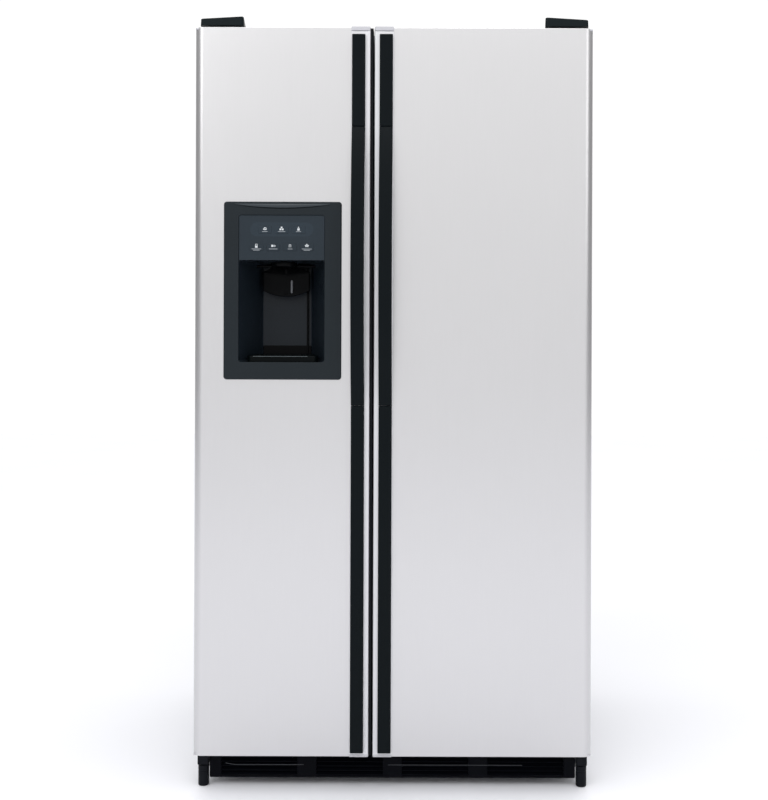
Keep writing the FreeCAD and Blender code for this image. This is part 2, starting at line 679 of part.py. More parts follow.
def door_gasket(door):
    """The magnetic seal round the door's back."""
    low, high = door.span("gasket_hinge_inset", "gasket_seam_inset")
    return frame_ring(door.name + "_gasket", (low, DOOR_BACK, "door_bottom + gasket_end_inset"),
                      (high, DOOR_BACK + " + gasket_thick", "door_top - gasket_end_inset"),
                      "gasket_wide")


def door_handle(door):
    """The full-height handle: two flat trims and, between them, a grip that bows outwards."""
    middle = "handle_inset + handle_wide / 2"
    if door.hinge == "-":
        spot = "%s - (%s)" % (door.east, middle)
    else:
        spot = "%s + %s" % (door.west, middle)
    low, high = spot + " - handle_wide / 2", spot + " + handle_wide / 2"
    face = DOOR_FRONT + " - trim_deep"
    lower = box(door.name + "_trim_low", (low, face, "handle_low"),
                (high, DOOR_FRONT, "grip_low - handle_seam"))
    upper = box(door.name + "_trim_high", (low, face, "grip_high + handle_seam"),
                (high, DOOR_FRONT, "handle_high"))
    grip = new_body(door.name + "_grip", (spot, DOOR_FRONT, "grip_low"))
    long = "(grip_high - grip_low)"
    pad(grip, door.name + "_grip_pad", "YZ_Plane", [
        ("0", "0"), ("0", "grip_foot", "handle_reach - grip_thick"), ("0", long + " - grip_foot"),
        ("0", long), ("-trim_deep", long, "-(handle_reach - trim_deep)"), ("-trim_deep", "0")],
        "handle_wide", middle=True)
    return group(door.name + "_handle", lower, upper, grip)


BIN_HINGE_INSET = "dike_hinge_inset + dike_wall + bin_side_gap"
BIN_SEAM_INSET = "dike_seam_inset + dike_wall + bin_side_gap"


def door_bin(name, door, low):
    """A rack on the door, between the dike's two uprights."""
    west, east = door.span(BIN_HINGE_INSET, BIN_SEAM_INSET)
    return tub(name, (west, DOOR_BACK, low),
               (east, DOOR_BACK + " + bin_deep", low + " + bin_high"), "bin_wall")


well_room = doc.addObject("Part::Wedge", "well_room")
for limit, text in (("Xmin", "-well_wide / 2"), ("Xmax", "well_wide / 2"),
                    ("X2min", "-well_back_wide / 2"), ("X2max", "well_back_wide / 2"),
                    ("Zmin", "0"), ("Zmax", "well_high - well_low"),
                    ("Z2min", "well_back_low - well_low"), ("Z2max", "well_high - well_low"),
                    ("Ymin", "0"), ("Ymax", "well_deep")):
    well_room.setExpression(limit, bound(text))
place(well_room, ("well_middle", DOOR_FRONT, "well_low"))


def dispenser_housing():
    """The moulded well behind the bezel, tapering towards its back."""
    block = box("well_block", ("well_middle - well_wide / 2 - well_wall", DOOR_FRONT,
                               "well_low - well_wall"),
                ("well_middle + well_wide / 2 + well_wall", DOOR_FRONT + " + well_deep + well_wall",
                 "panel_high + well_wall"))
    panel_room = box("panel_room", ("well_middle - well_wide / 2", DOOR_FRONT + " - over",
                                    "well_high"),
                     ("well_middle + well_wide / 2", DOOR_FRONT + " + panel_thick + well_wall",
                      "panel_high"))
    pins = pad_pin("well", "pad_pin + pin_play", "pad_pin_long + pad_pin")
    return cut("dispenser_housing", block, panel_room, well_room, pins)


def pad_pin(name, radius, long):
    """The cross pin that the dispenser pad hangs from."""
    start = ("well_middle - (%s) / 2" % long, "pad_plane", "well_high - 2 * pad_pin")
    return rod(name + "_pin", start, radius, long, X_AXIS)


def dispenser_bezel():
    """The raised surround of the dispenser."""
    low = "well_middle - bezel_wide / 2"
    bezel = new_body("bezel_outer", (low, DOOR_FRONT, "bezel_low"))
    high = "bezel_high - bezel_low"
    pad(bezel, "bezel_pad", "XZ_Plane", [("0", "0"), ("bezel_wide", "0"), ("bezel_wide", high),
                                         ("0", high)], "bezel_proud")
    round_edges(bezel, "bezel_corners", "bezel_round",
                lambda middle, span: abs(span.y) > 1 and abs(span.x) + abs(span.z) < 1)
    hole = box("bezel_hole", ("well_middle - well_wide / 2", DOOR_FRONT + " - 2 * bezel_proud",
                              "well_low"),
               ("well_middle + well_wide / 2", DOOR_FRONT + " + over", "panel_high"))
    return cut("dispenser_bezel", bezel, hole)


KEYS = (("key_crushed", "-1", "key_upper"), ("key_cubed", "0", "key_upper"),
        ("key_water", "1", "key_upper"), ("key_lock", "-1.5", "key_lower"),
        ("key_light", "-0.5", "key_lower"), ("key_fast", "0.5", "key_lower"),
        ("key_filter", "1.5", "key_lower"))
PANEL_FACE = "(%s - bezel_proud + panel_sunk)" % DOOR_FRONT


def key_block(name, column, level, grow, front, back):
    """A key's block, or with grow the room it needs."""
    middle = "well_middle + %s * key_pitch" % column
    return box(name, ("%s - key_wide / 2 - %s" % (middle, grow), front,
                      "%s - key_high / 2 - %s" % (level, grow)),
               ("%s + key_wide / 2 + %s" % (middle, grow), back,
                "%s + key_high / 2 + %s" % (level, grow)))


def control_panel():
    """The fascia over the well, with a shallow pocket for each key."""
    slab = box("panel_slab", ("well_middle - well_wide / 2", PANEL_FACE, "well_high"),
               ("well_middle + well_wide / 2", DOOR_FRONT + " + panel_thick", "panel_high"))
    pockets = [key_block(name + "_pocket", column, level, "key_play", PANEL_FACE + " - over",
                         PANEL_FACE + " + key_thick + key_travel")
               for name, column, level in KEYS]
    return cut("control_panel", slab, *pockets)


def dispenser_pad():
    """The bell-shaped paddle that a glass pushes back."""
    plate = new_body("pad_plate", ("well_middle", "pad_plane", 0))
    half, neck = "pad_wide / 2", "pad_neck / 2"
    pad(plate, "pad_plate_pad", "XZ_Plane", [
        (neck, "pad_high"), ("-" + neck, "pad_high", "-pad_bow"), ("-" + half, "pad_shoulder"),
        ("-" + half, "pad_corner", "-(pad_corner - pad_low)"), (half, "pad_corner"),
        (half, "pad_shoulder", "-pad_bow")], "pad_thick", middle=True)
    return fuse("dispenser_pad", plate, pad_pin("pad", "pad_pin", "pad_pin_long"))


def drip_grille():
    """The slotted tray at the foot of the well."""
    block = box("tray_block", ("well_middle - tray_wide / 2", "tray_front", "tray_low"),
                ("well_middle + tray_wide / 2", "tray_back", "tray_high"))
    slots = []
    count = int(number("tray_wide / tray_pitch")) - 1
    for index in range(count):
        start = "well_middle + (%s) * tray_pitch - tray_slot / 2" % (index - (count - 1) / 2)
        slots.append(box("tray_slot_%d" % index, (start, "tray_front + tray_wall", "tray_low + tray_wall"),
                         (start + " + tray_slot", "tray_back - tray_wall", "tray_high + over")))
    return cut("drip_grille", block, *slots)


def bulge():
    """The raised cover on the liner behind the dispenser well, and the room inside it."""
    low, high = ("well_middle - bulge_half", "well_middle + bulge_half")
    outer = box("bulge_outer", (low, DOOR_BACK + " - door_plate / 2", "bulge_low"),
                (high, "bulge_back", "bulge_high"))
    inner = box("bulge_inner", (low + " + bulge_wall", DOOR_BACK + " - door_plate - over",
                                "bulge_low + bulge_wall"),
                (high + " - bulge_wall", "bulge_back - bulge_wall", "bulge_high - bulge_wall"))
    return outer, inner


LID_FRONT = DOOR_BACK + " + bin_deep + lid_gap"


def lid_pin(name, inset, radius):
    """The rod along the top edge of the dairy lid."""
    west, east = FRESH.span(BIN_HINGE_INSET, BIN_SEAM_INSET)
    return rod(name, ("%s + %s" % (west, inset), LID_FRONT + " + lid_thick / 2", "dairy_high"),
               radius, "(%s) - (%s) - 2 * (%s)" % (east, west, inset), X_AXIS)


def dairy_box():
    """The top rack of the fresh-food door, with cheeks and a hood that carry the lid."""
    west, east = FRESH.span(BIN_HINGE_INSET, BIN_SEAM_INSET)
    rack = door_bin("dairy_rack", FRESH, "dairy_low")
    back = DOOR_BACK + " + hood_reach"
    cheeks = [box("dairy_cheek_" + side, (low, DOOR_BACK, "dairy_low"),
                  (high, back, "dairy_high + hood_rise"))
              for side, low, high in (("west", west, west + " + bin_wall"),
                                      ("east", east + " - bin_wall", east))]
    hood = box("dairy_hood", (west, DOOR_BACK, "dairy_high + hood_rise - bin_wall"),
               (east, back, "dairy_high + hood_rise"))
    return cut("dairy_box", fuse("dairy_walls", rack, hood, *cheeks),
               lid_pin("lid_pin_hole", "-over", "lid_pin + pin_play"))


def dairy_lid():
    """The flap over the top rack of the fresh-food door, hinged along its top edge."""
    west, east = FRESH.span(BIN_HINGE_INSET, BIN_SEAM_INSET)
    flap = box("lid_flap", (west + " + bin_wall + lid_gap", LID_FRONT,
                            "dairy_low + bin_high / 2"),
               (east + " - bin_wall - lid_gap", LID_FRONT + " + lid_thick", "dairy_high"))
    return fuse("dairy_lid", flap, lid_pin("lid_pin_rod", "lid_gap / 2", "lid_pin"))


node(door_skin(FREEZER, [dispenser_hole("skin_hole", DOOR_FRONT + " + bezel_round")]))
node(door_foam(FREEZER, [dispenser_hole("foam_hole", DOOR_BACK)]))
outer_bulge, inner_bulge = bulge()
node(door_liner(FREEZER, [outer_bulge], [inner_bulge]))
node(door_gasket(FREEZER))
node(door_handle(FREEZER))
node(group("freezer_door_bins", *[
    door_bin("freezer_bin_%d" % index, FREEZER, low)
    for index, low in enumerate(("freezer_bin_a", "freezer_bin_b", "freezer_bin_c"))]))
for make in (dispenser_housing, dispenser_bezel, control_panel, dispenser_pad, drip_grille):
    node(make())
for name, column, level in KEYS:
    node(key_block(name, column, level, "0", PANEL_FACE + " - key_proud",
                   PANEL_FACE + " - key_proud + key_thick"))
node(door_skin(FRESH, []))
node(door_foam(FRESH, []))
node(door_liner(FRESH, [], []))
node(door_gasket(FRESH))
node(door_handle(FRESH))
node(group("fresh_door_bins", *[
    door_bin("fresh_bin_%d" % index, FRESH, low)
    for index, low in enumerate(("fresh_bin_a", "fresh_bin_b", "fresh_bin_c",
                                 "fresh_bin_d"))], dairy_box()))
node(dairy_lid())


# ---------------------------------------------------------------- inside the compartments


def wire_shelf(name, level):
    """A freezer shelf: a rim of thick wire with thin wires across it."""
    west, east = "freezer_west + shelf_gap + rim", "freezer_east - shelf_gap - rim"
    long = "(%s) - (%s)" % (east, west)
    bars = [rod("%s_rim_%d" % (name, index), (west + " - rim", spot, level), "rim",
                long + " + 2 * rim", X_AXIS)
            for index, spot in enumerate(("front_line + rim", "shelf_back - rim"))]
    for index, spot in enumerate((west, east)):
        bars.append(rod("%s_side_%d" % (name, index), (spot, "front_line + rim", level), "rim",
                        "shelf_back - front_line - 2 * rim", Y_AXIS))
    for index in range(1, int(number(long) / number("wire_pitch"))):
        bars.append(rod("%s_wire_%d" % (name, index),
                        ("%s + %d * wire_pitch" % (west, index), "front_line + rim", level),
                        "wire / 2", "shelf_back - front_line - 2 * rim", Y_AXIS))
    return fuse(name, *bars)


def glass_shelf(name, level):
    """A tempered glass shelf."""
    return box(name, ("fresh_west + shelf_gap", "front_line", level),
               ("fresh_east - shelf_gap", "shelf_back", level + " + glass_thick"))


def drawer(name, west, east, low, high, back):
    """A pull-out bin."""
    return tub(name, ("%s + drawer_gap" % west, "front_line", low),
               ("%s - drawer_gap" % east, back, high), "drawer_wall")


def evaporator_cover():
    """The panel in front of the evaporator, with return slots below and the fan's hole."""
    panel = box("duct_panel", ("freezer_west + duct_gap", "duct_front", "hump_top + duct_gap"),
                ("freezer_east - duct_gap", "duct_front + duct_thick", "ceiling - duct_gap"))
    middle = "(freezer_west + freezer_east) / 2"
    hole = rod("duct_fan_hole", (middle, "duct_front - over", "fan_level"), "duct_hole",
               "duct_thick + 2 * over", Y_AXIS)
    slots = [box("duct_slot_%d" % index,
                 ("freezer_west + pad_wide / 2", "duct_front - over",
                  "slot_low + %d * slot_step" % index),
                 ("freezer_east - pad_wide / 2", "duct_front + duct_thick + over",
                  "slot_high + %d * slot_step" % index))
             for index in range(int(number("slot_rows")))]
    return cut("evaporator_cover", panel, hole, *slots)


def finned_coil(name, west, east, front, back, low, high, fins):
    """A row of tubes through upright fins."""
    count = int(number(fins))
    step = "((%s) - (%s) - fin) / %d" % (east, west, count - 1)
    parts = [box("%s_fin_%d" % (name, index), ("%s + %d * %s" % (west, index, step), front, low),
                 ("%s + %d * %s + fin" % (west, index, step), back, high))
             for index in range(count)]
    rows = int(number("tube_rows"))
    rise = "((%s) - (%s)) / %d" % (high, low, rows)
    for index in range(rows):
        level = "%s + (%d + 0.5) * %s" % (low, index, rise)
        parts.append(rod("%s_tube_%d" % (name, index),
                         (west, "((%s) + (%s)) / 2" % (front, back), level), "tube",
                         "(%s) - (%s)" % (east, west), X_AXIS))
    return fuse(name, *parts)


def fan(name, point, turn, tip):
    """A five-bladed fan, bored for its motor's shaft."""
    wheel = new_body(name, point, turn)
    half, high = "blade_wide / 2", "fan_long"
    blade = pad(wheel, name + "_blade", "XZ_Plane", [
        ("-" + half, "blade_thick"), ("-%s + blade_thick" % half, "0"),
        (half, high + " - blade_thick"), (half + " - blade_thick", high)], tip)
    around_z(wheel, name + "_blades", blade, "blade_count")
    ring = sketch(wheel, name + "_hub_sketch", "XY_Plane")
    circle(ring, "fan_hub")
    hub = wheel.newObject("PartDesign::Pad", name + "_hub")
    hub.Profile = ring
    hub.setExpression("Length", bound("fan_long"))
    doc.recompute()
    hole = sketch(wheel, name + "_bore_sketch", "XY_Plane")
    circle(hole, "shaft_radius + shaft_play")
    bore = wheel.newObject("PartDesign::Pocket", name + "_bore")
    bore.Profile = hole
    bore.Reversed = True
    bore.setExpression("Length", bound("fan_long + over"))
    doc.recompute()
    return wheel


def circle(drawing, radius):
    """A circle about the sketch's origin."""
    drawing.addGeometry(Part.Circle(Vector(), Vector(0, 0, 1), number(radius)))
    drawing.addConstraint(Sketcher.Constraint("Coincident", 0, 3, -1, 1))
    index = drawing.addConstraint(Sketcher.Constraint("Radius", 0, number(radius)))
    drawing.setExpression("Constraints[%d]" % index, bound(radius))


def fan_motors():
    """The evaporator fan's and the condenser fan's motors with their shafts and mounts."""
    middle = "(freezer_west + freezer_east) / 2"
    can = rod("cold_motor_can", (middle, "room_back - motor_long - shaft_play", "fan_level"),
              "motor_radius", "motor_long", Y_AXIS)
    shaft = rod("cold_motor_shaft", (middle, "evaporator_fan_y", "fan_level"), "shaft_radius",
                "room_back - motor_long / 2 - evaporator_fan_y", Y_AXIS)
    cold = fuse("cold_motor", can, shaft)
    start = "condenser_fan_x - 2 * shaft_radius - motor_long"
    can = rod("warm_motor_can", (start, "condenser_fan_y", "condenser_fan_z"), "motor_radius",
              "motor_long", X_AXIS)
    shaft = rod("warm_motor_shaft", (start, "condenser_fan_y", "condenser_fan_z"),
                "shaft_radius", "motor_long + 2 * shaft_radius + fan_long", X_AXIS)
    stand = box("warm_motor_stand", (start, "condenser_fan_y - foot_radius / 2",
                                     "pan_level + pan_thick"),
                (start + " + foot_radius", "condenser_fan_y + foot_radius / 2",
                 "condenser_fan_z"))
    return group("fan_motors", cold, fuse("warm_motor", can, shaft, stand))


def compressor():
    """A domed steel can on a base plate with four rubber feet."""
    base = "pan_level + pan_thick + foot_high"
    can = new_body("compressor_can", ("can_x", "can_y", base))
    turned(can, "can_turned", [
        ("0", "0"), ("can_radius - can_dome", "0", "-can_dome * quarter_bow"),
        ("can_radius", "can_dome"), ("can_radius", "can_high - can_dome", "-can_dome * quarter_bow"),
        ("can_radius - can_dome", "can_high"), ("0", "can_high")])
    plate = box("compressor_plate", ("can_x - foot_spread - foot_radius",
                                     "can_y - plate_half", base),
                ("can_x + foot_spread + foot_radius", "can_y + plate_half",
                 base + " + pan_thick"))
    feet = [rod("compressor_foot_%d" % index,
                ("can_x + %s * foot_spread" % across, "can_y + %s * foot_along" % along,
                 "pan_level + pan_thick"), "foot_radius", "foot_high + over")
            for index, (across, along) in enumerate(((-1, -1), (1, -1), (-1, 1), (1, 1)))]
    return fuse("compressor", can, plate, *feet)


def water_valve():
    """The inlet valve, with a threaded connector for the supply hose."""
    block = box("valve_block", ("valve_x - valve_wide / 2", "valve_front", "valve_low"),
                ("valve_x + valve_wide / 2", "valve_back", "valve_high"))
    spot = ("valve_x", "valve_back - over", "(valve_low + valve_high) / 2")
    spigot = rod("valve_spigot", spot, "inlet_radius", "inlet_long + over", Y_AXIS)
    bore = rod("valve_bore", (spot[0], "valve_back", spot[2]), "inlet_bore",
               "inlet_long + over", Y_AXIS)
    leg = box("valve_leg", ("valve_x - foot_radius", "valve_front", "pan_level + pan_thick"),
              ("valve_x + foot_radius", "valve_front + valve_wide / 2", "valve_low + over"))
    return cut("water_valve", fuse("valve_body", block, spigot, leg), bore)


def ice_maker():
    """The automatic ice maker: a mould tray with a drive head at one end."""
    west, east = "freezer_west + maker_side", "freezer_east - maker_side / 2"
    mould = tub("maker_mould", (west, "maker_front", "maker_low"),
                (east, "maker_back", "(maker_low + maker_high) / 2"), "mould_wall")
    head = box("maker_head", (west + " - maker_side / 2", "maker_front", "maker_low"),
               (west + " + over", "maker_back", "maker_high"))
    hanger = box("maker_hanger", (west + " - maker_side / 2", "maker_back - maker_side / 2",
                                  "maker_high - over"),
                 (west + " + over", "maker_back", "ceiling"))
    return fuse("ice_maker", mould, head, hanger)


def feeler_arm():
    """The wire that feels how full the ice bucket is."""
    side = "freezer_west + maker_side / 2 - 2 * arm_radius"
    level = "maker_low + arm_drop"
    pivot = rod("arm_pivot", (side, "maker_front + arm_drop", level), "arm_radius",
                "2 * arm_radius - shaft_play", X_AXIS)
    reach = rod("arm_reach_rod", (side, "maker_front + arm_drop", level), "arm_radius",
                "arm_reach", Y_AXIS)
    return fuse("feeler_arm", pivot, reach)


def control_housing():
    """The moulded box at the top of the fresh-food compartment with the dials' shafts."""
    low, high = "fresh_west + housing_gap", "fresh_east - housing_gap"
    block = box("housing_block", (low, "housing_front", "housing_low"),
                (high, "housing_back", "housing_high"))
    inside = box("housing_inside", (low + " + housing_wall", "housing_front + housing_wall",
                                    "housing_low + housing_wall"),
                 (high + " - housing_wall", "housing_back + over", "housing_high + over"))
    shafts = [rod("dial_shaft_%d" % index,
                  ("(fresh_west + fresh_east) / 2 %s dial_spread" % sign,
                   "housing_front - dial_deep / 2 + over", "dial_level"),
                  "dial_shaft", "dial_deep / 2", Y_AXIS)
              for index, sign in enumerate(("-", "+"))]
    return fuse("control_housing", cut("housing_shell", block, inside), *shafts)


def temp_dial(name, sign):
    """A temperature dial with a finger bar."""
    knob = new_body(name + "_knob", ("(fresh_west + fresh_east) / 2 %s dial_spread" % sign,
                                     "housing_front - dial_play", "dial_level"),
                    Rotation(Vector(1, 0, 0), 90))
    turned(knob, name + "_turned", [
        ("dial_shaft + dial_play", "0"), ("dial_radius", "0"),
        ("dial_radius - over", "dial_deep / 2"), ("dial_shaft + dial_play", "dial_deep / 2")])
    bar = box(name + "_bar", ("(fresh_west + fresh_east) / 2 %s dial_spread - dial_bar / 2" % sign,
                              "housing_front - dial_deep",
                              "dial_level - dial_radius + over"),
              ("(fresh_west + fresh_east) / 2 %s dial_spread + dial_bar / 2" % sign,
               "housing_front - dial_play - dial_deep / 2 + over / 2",
               "dial_level + dial_radius - over"))
    return fuse(name, knob, bar)


node(group("freezer_shelves", wire_shelf("freezer_shelf_0", "freezer_shelf_a"),
           wire_shelf("freezer_shelf_1", "freezer_shelf_b"),
           wire_shelf("freezer_shelf_2", "freezer_shelf_c")))
node(group("glass_shelves", glass_shelf("crisper_divider", "crisper_divide"),
           glass_shelf("glass_shelf_0", "crisper_roof"),
           glass_shelf("glass_shelf_1", "glass_shelf_a"),
           glass_shelf("glass_shelf_2", "glass_shelf_b"),
           glass_shelf("glass_shelf_3", "glass_shelf_c")))
node(drawer("crisper_lower", "fresh_west", "fresh_east", "crisper_low", "crisper_high",
            "hump_front - drawer_gap"))
node(drawer("crisper_upper", "fresh_west", "fresh_east", "crisper_mid", "crisper_top",
            "shelf_back"))
node(drawer("freezer_basket", "freezer_west", "freezer_east", "basket_low", "basket_high",
            "hump_front - drawer_gap"))
node(tub("ice_bucket", ("freezer_west + bucket_gap", "bucket_front", "bucket_low"),
         ("freezer_east - bucket_gap", "bucket_back", "bucket_high"), "drawer_wall"))
node(evaporator_cover())
node(finned_coil("evaporator", "coil_west", "coil_east", "coil_front", "coil_back", "coil_low",
                 "coil_high", "fin_count"))
node(finned_coil("condenser", "condenser_west", "condenser_east", "condenser_front",
                 "condenser_back", "condenser_low", "condenser_high", "condenser_fins"))
node(fan("evaporator_fan", ("(freezer_west + freezer_east) / 2", "evaporator_fan_y",
                            "fan_level"), Y_AXIS, "evaporator_fan_tip"))
node(fan("condenser_fan", ("condenser_fan_x", "condenser_fan_y", "condenser_fan_z"), X_AXIS,
         "condenser_fan_tip"))
for make in (fan_motors, compressor, water_valve, ice_maker, feeler_arm, control_housing):
    node(make())
node(temp_dial("temp_dial_fresh", "-"))
node(temp_dial("temp_dial_freezer", "+"))


# ---------------------------------------------------------------- check and write

doc.recompute()
for item in doc.Objects:
    if "Invalid" in item.State or "Error" in item.State:
        raise RuntimeError("%s did not compute: %s" % (item.Label, item.State))
os.makedirs("parts", exist_ok=True)
for piece in nodes:
    if piece.Shape.isNull() or not piece.Shape.isValid():
        raise RuntimeError("%s has no valid shape" % piece.Label)
    piece.Shape.exportStep("parts/%s.step" % piece.Label)
print(len(nodes), "pieces")
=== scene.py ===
import math

import bmesh
import bpy
import numpy as np
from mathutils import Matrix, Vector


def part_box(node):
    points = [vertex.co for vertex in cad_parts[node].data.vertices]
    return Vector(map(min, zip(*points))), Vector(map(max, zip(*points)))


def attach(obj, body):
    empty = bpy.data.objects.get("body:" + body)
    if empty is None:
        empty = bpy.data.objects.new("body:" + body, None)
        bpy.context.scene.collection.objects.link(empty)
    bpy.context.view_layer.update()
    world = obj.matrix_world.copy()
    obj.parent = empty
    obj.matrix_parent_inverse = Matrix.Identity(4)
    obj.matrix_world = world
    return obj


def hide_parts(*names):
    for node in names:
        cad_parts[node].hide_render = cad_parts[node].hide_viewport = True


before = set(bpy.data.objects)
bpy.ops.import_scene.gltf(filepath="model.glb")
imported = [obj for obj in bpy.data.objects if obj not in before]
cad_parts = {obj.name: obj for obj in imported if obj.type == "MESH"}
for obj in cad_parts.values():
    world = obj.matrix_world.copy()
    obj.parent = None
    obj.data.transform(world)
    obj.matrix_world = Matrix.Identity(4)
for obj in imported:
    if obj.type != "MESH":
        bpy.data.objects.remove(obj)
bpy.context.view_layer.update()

# ---------------- door shells
# Each door is a folded sheet of brushed stainless steel, open at the back, with a big radius
# along its hinged edge, a small one along the middle seam, and narrow flanges top and bottom.
# The shells hold foam, and the freezer door's front is pierced for the dispenser.

MM = 0.001


class Socket:
    """An output of a shader tree.  Sums on it add Math nodes, and node() adds any other node."""

    def __init__(self, tree, output):
        self.tree = tree
        self.output = output

    def node(self, kind, settings=None, inputs=None, result=0):
        """Adds a node: its settings first, then the values or links of its sockets."""
        made = self.tree.nodes.new("ShaderNode" + kind)
        for key, value in (settings or {}).items():
            setattr(made, key, value)
        for key, value in (inputs or {}).items():
            if isinstance(value, Socket):
                self.tree.links.new(value.output, made.inputs[key])
            else:
                made.inputs[key].default_value = value
        return Socket(self.tree, made.outputs[result])

    def math(self, operation, first, second=0):
        return self.node("Math", {"operation": operation}, {0: first, 1: second})

    def __add__(self, other):
        return self.math("ADD", self, other)

    __radd__ = __add__

    def __sub__(self, other):
        return self.math("SUBTRACT", self, other)

    def __rsub__(self, other):
        return self.math("SUBTRACT", other, self)

    def __mul__(self, other):
        return self.math("MULTIPLY", self, other)

    __rmul__ = __mul__

    def ramp(self, low, high, start=0, end=1):
        """This value, carried smoothly from the range low to high on to start to end."""
        return self.node("MapRange", {"interpolation_type": "SMOOTHSTEP"},
                         {0: self, 1: low, 2: high, 3: start, 4: end})

    def noise(self, scale, detail=2, stretch=(1, 1, 1)):
        """Noise over this vector; scale is in waves a metre, times stretch along each axis."""
        spread = self.node("VectorMath", {"operation": "MULTIPLY"}, {0: self, 1: stretch})
        return self.node("TexNoise", None, {"Vector": spread, "Scale": scale, "Detail": detail})

    def axes(self):
        """The three parts of this vector."""
        split = self.node("SeparateXYZ", None, {0: self})
        return [Socket(self.tree, output) for output in split.output.node.outputs]

    def size(self):
        """This value without its sign."""
        return self.math("ABSOLUTE", self)

    def blend(self, first, second):
        """A colour between two, by this value."""
        return self.node("Mix", {"data_type": "RGBA"},
                         {0: self, 6: (*first, 1), 7: (*second, 1)}, 2)

    def bump(self, height):
        """A normal from this value, taken as a relief of so many metres."""
        return self.node("Bump", None, {"Height": self, "Distance": height, "Strength": 1})


def finish(name, colour, roughness, look=None, **constants):
    """A principled material.  look takes the Object coordinates and gives the inputs that vary."""
    material = bpy.data.materials.new(name)
    material.use_nodes = True
    tree = material.node_tree
    shader = tree.nodes["Principled BSDF"]
    shader.inputs["Base Color"].default_value = (*colour, 1)
    shader.inputs["Roughness"].default_value = roughness
    for key, value in constants.items():
        shader.inputs[key.replace("_", " ")].default_value = value
    if look:
        where = Socket(tree, tree.nodes.new("ShaderNodeTexCoord").outputs["Object"])
        for key, value in look(where).items():
            tree.links.new(value.output, shader.inputs[key])
    material.diffuse_color = (*colour, 1)
    return material


class Shell:
    """The points, in millimetres, and the faces of one piece."""

    def __init__(self):
        self.points = []
        self.faces = []
        self.count = 0

    def sheet(self, grid, holes=None, around=False, looped=False):
        """Quads over a grid (r, c, 3), closed on itself across if around, and along if looped.
        Quads marked in holes (r - 1, c - 1) are left out."""
        grid = np.asarray(grid, float)
        index = self.count + np.arange(grid.shape[0] * grid.shape[1]).reshape(grid.shape[:2])
        if around:
            index = np.hstack([index, index[:, :1]])
        if looped:
            index = np.vstack([index, index[:1]])
        quads = np.stack([index[:-1, :-1], index[:-1, 1:], index[1:, 1:], index[1:, :-1]], -1)
        if holes is not None:
            quads = quads[~holes]
        self.faces += quads.reshape(-1, 4).tolist()
        self.points.append(grid.reshape(-1, 3))
        self.count += grid.shape[0] * grid.shape[1]
        return self

    def loft(self, rings, looped=False):
        """A skin over closed rings (r, n, 3), its two ends filled unless it is looped."""
        start = self.count
        self.sheet(rings, around=True, looped=looped)
        if not looped:
            n = len(rings[0])
            self.faces += [list(range(start, start + n)), list(range(self.count - n, self.count))]
        return self

    def block(self, *measures, **named):
        """A slab of those measures."""
        return self.loft(slab(*measures, **named))


def piece(name, body, shell, material, replaces=(), thick=0, smooth=38):
    """Makes the mesh in metres, turns its faces outwards, and rides it on its body.  A sheet is
    given its thickness inwards."""
    mesh = bpy.data.meshes.new(name)
    mesh.from_pydata((np.vstack(shell.points) * MM).tolist(), [], shell.faces)
    tidy = bmesh.new()
    tidy.from_mesh(mesh)
    bmesh.ops.remove_doubles(tidy, verts=tidy.verts, dist=1e-6)
    bmesh.ops.recalc_face_normals(tidy, faces=tidy.faces)
    tidy.to_mesh(mesh)
    tidy.free()
    mesh.shade_smooth()
    mesh.set_sharp_from_angle(angle=math.radians(smooth))
    made = bpy.data.objects.new(name, mesh)
    bpy.context.scene.collection.objects.link(made)
    mesh.materials.append(material)
    if thick:
        wall = made.modifiers.new("wall", "SOLIDIFY")
        wall.thickness = thick * MM
        wall.offset = -1
    made.modifiers.new("shading", "WEIGHTED_NORMAL").keep_sharp = True
    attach(made, body)
    if replaces:
        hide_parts(*replaces)
    return made


def corners(node):
    """A CAD node's lowest and highest corner, in millimetres."""
    return [np.array(corner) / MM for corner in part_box(node)]


def brushed(where):
    """Fine vertical grain: noise drawn out along Z, over broad faint clouding."""
    grain = where.noise(1500, 4, (1, 1, 0.01))
    cloud = where.noise(3, 2)
    return {
        "Base Color": (grain * 0.7 + cloud * 0.3).ramp(0.3, 0.7).blend(
            (0.598, 0.594, 0.602), (0.61, 0.606, 0.614)),
        "Roughness": grain.ramp(0.25, 0.75, 0.28, 0.33),
        "Normal": grain.bump(0.0000015),
    }


steel = finish("brushed_stainless", (0.604, 0.6, 0.608), 0.3, brushed, Metallic=0.92)


def door_rows(low, high, hole_low, hole_high):
    """Inset and level of every row: in along the lower flange, up the front, and in again."""
    bend = [(14, low), (1.6, low), (0.5, low + 0.5), (0, low + 1.6)]
    middle = [(0, level) for level in np.linspace(low + 60, high - 60, 10)]
    hole = [(0, hole_low), (0, hole_high)]
    top = [(inset, low + high - level) for inset, level in bend[::-1]]
    return np.array(bend + sorted(middle + hole, key=lambda row: row[1]) + top)


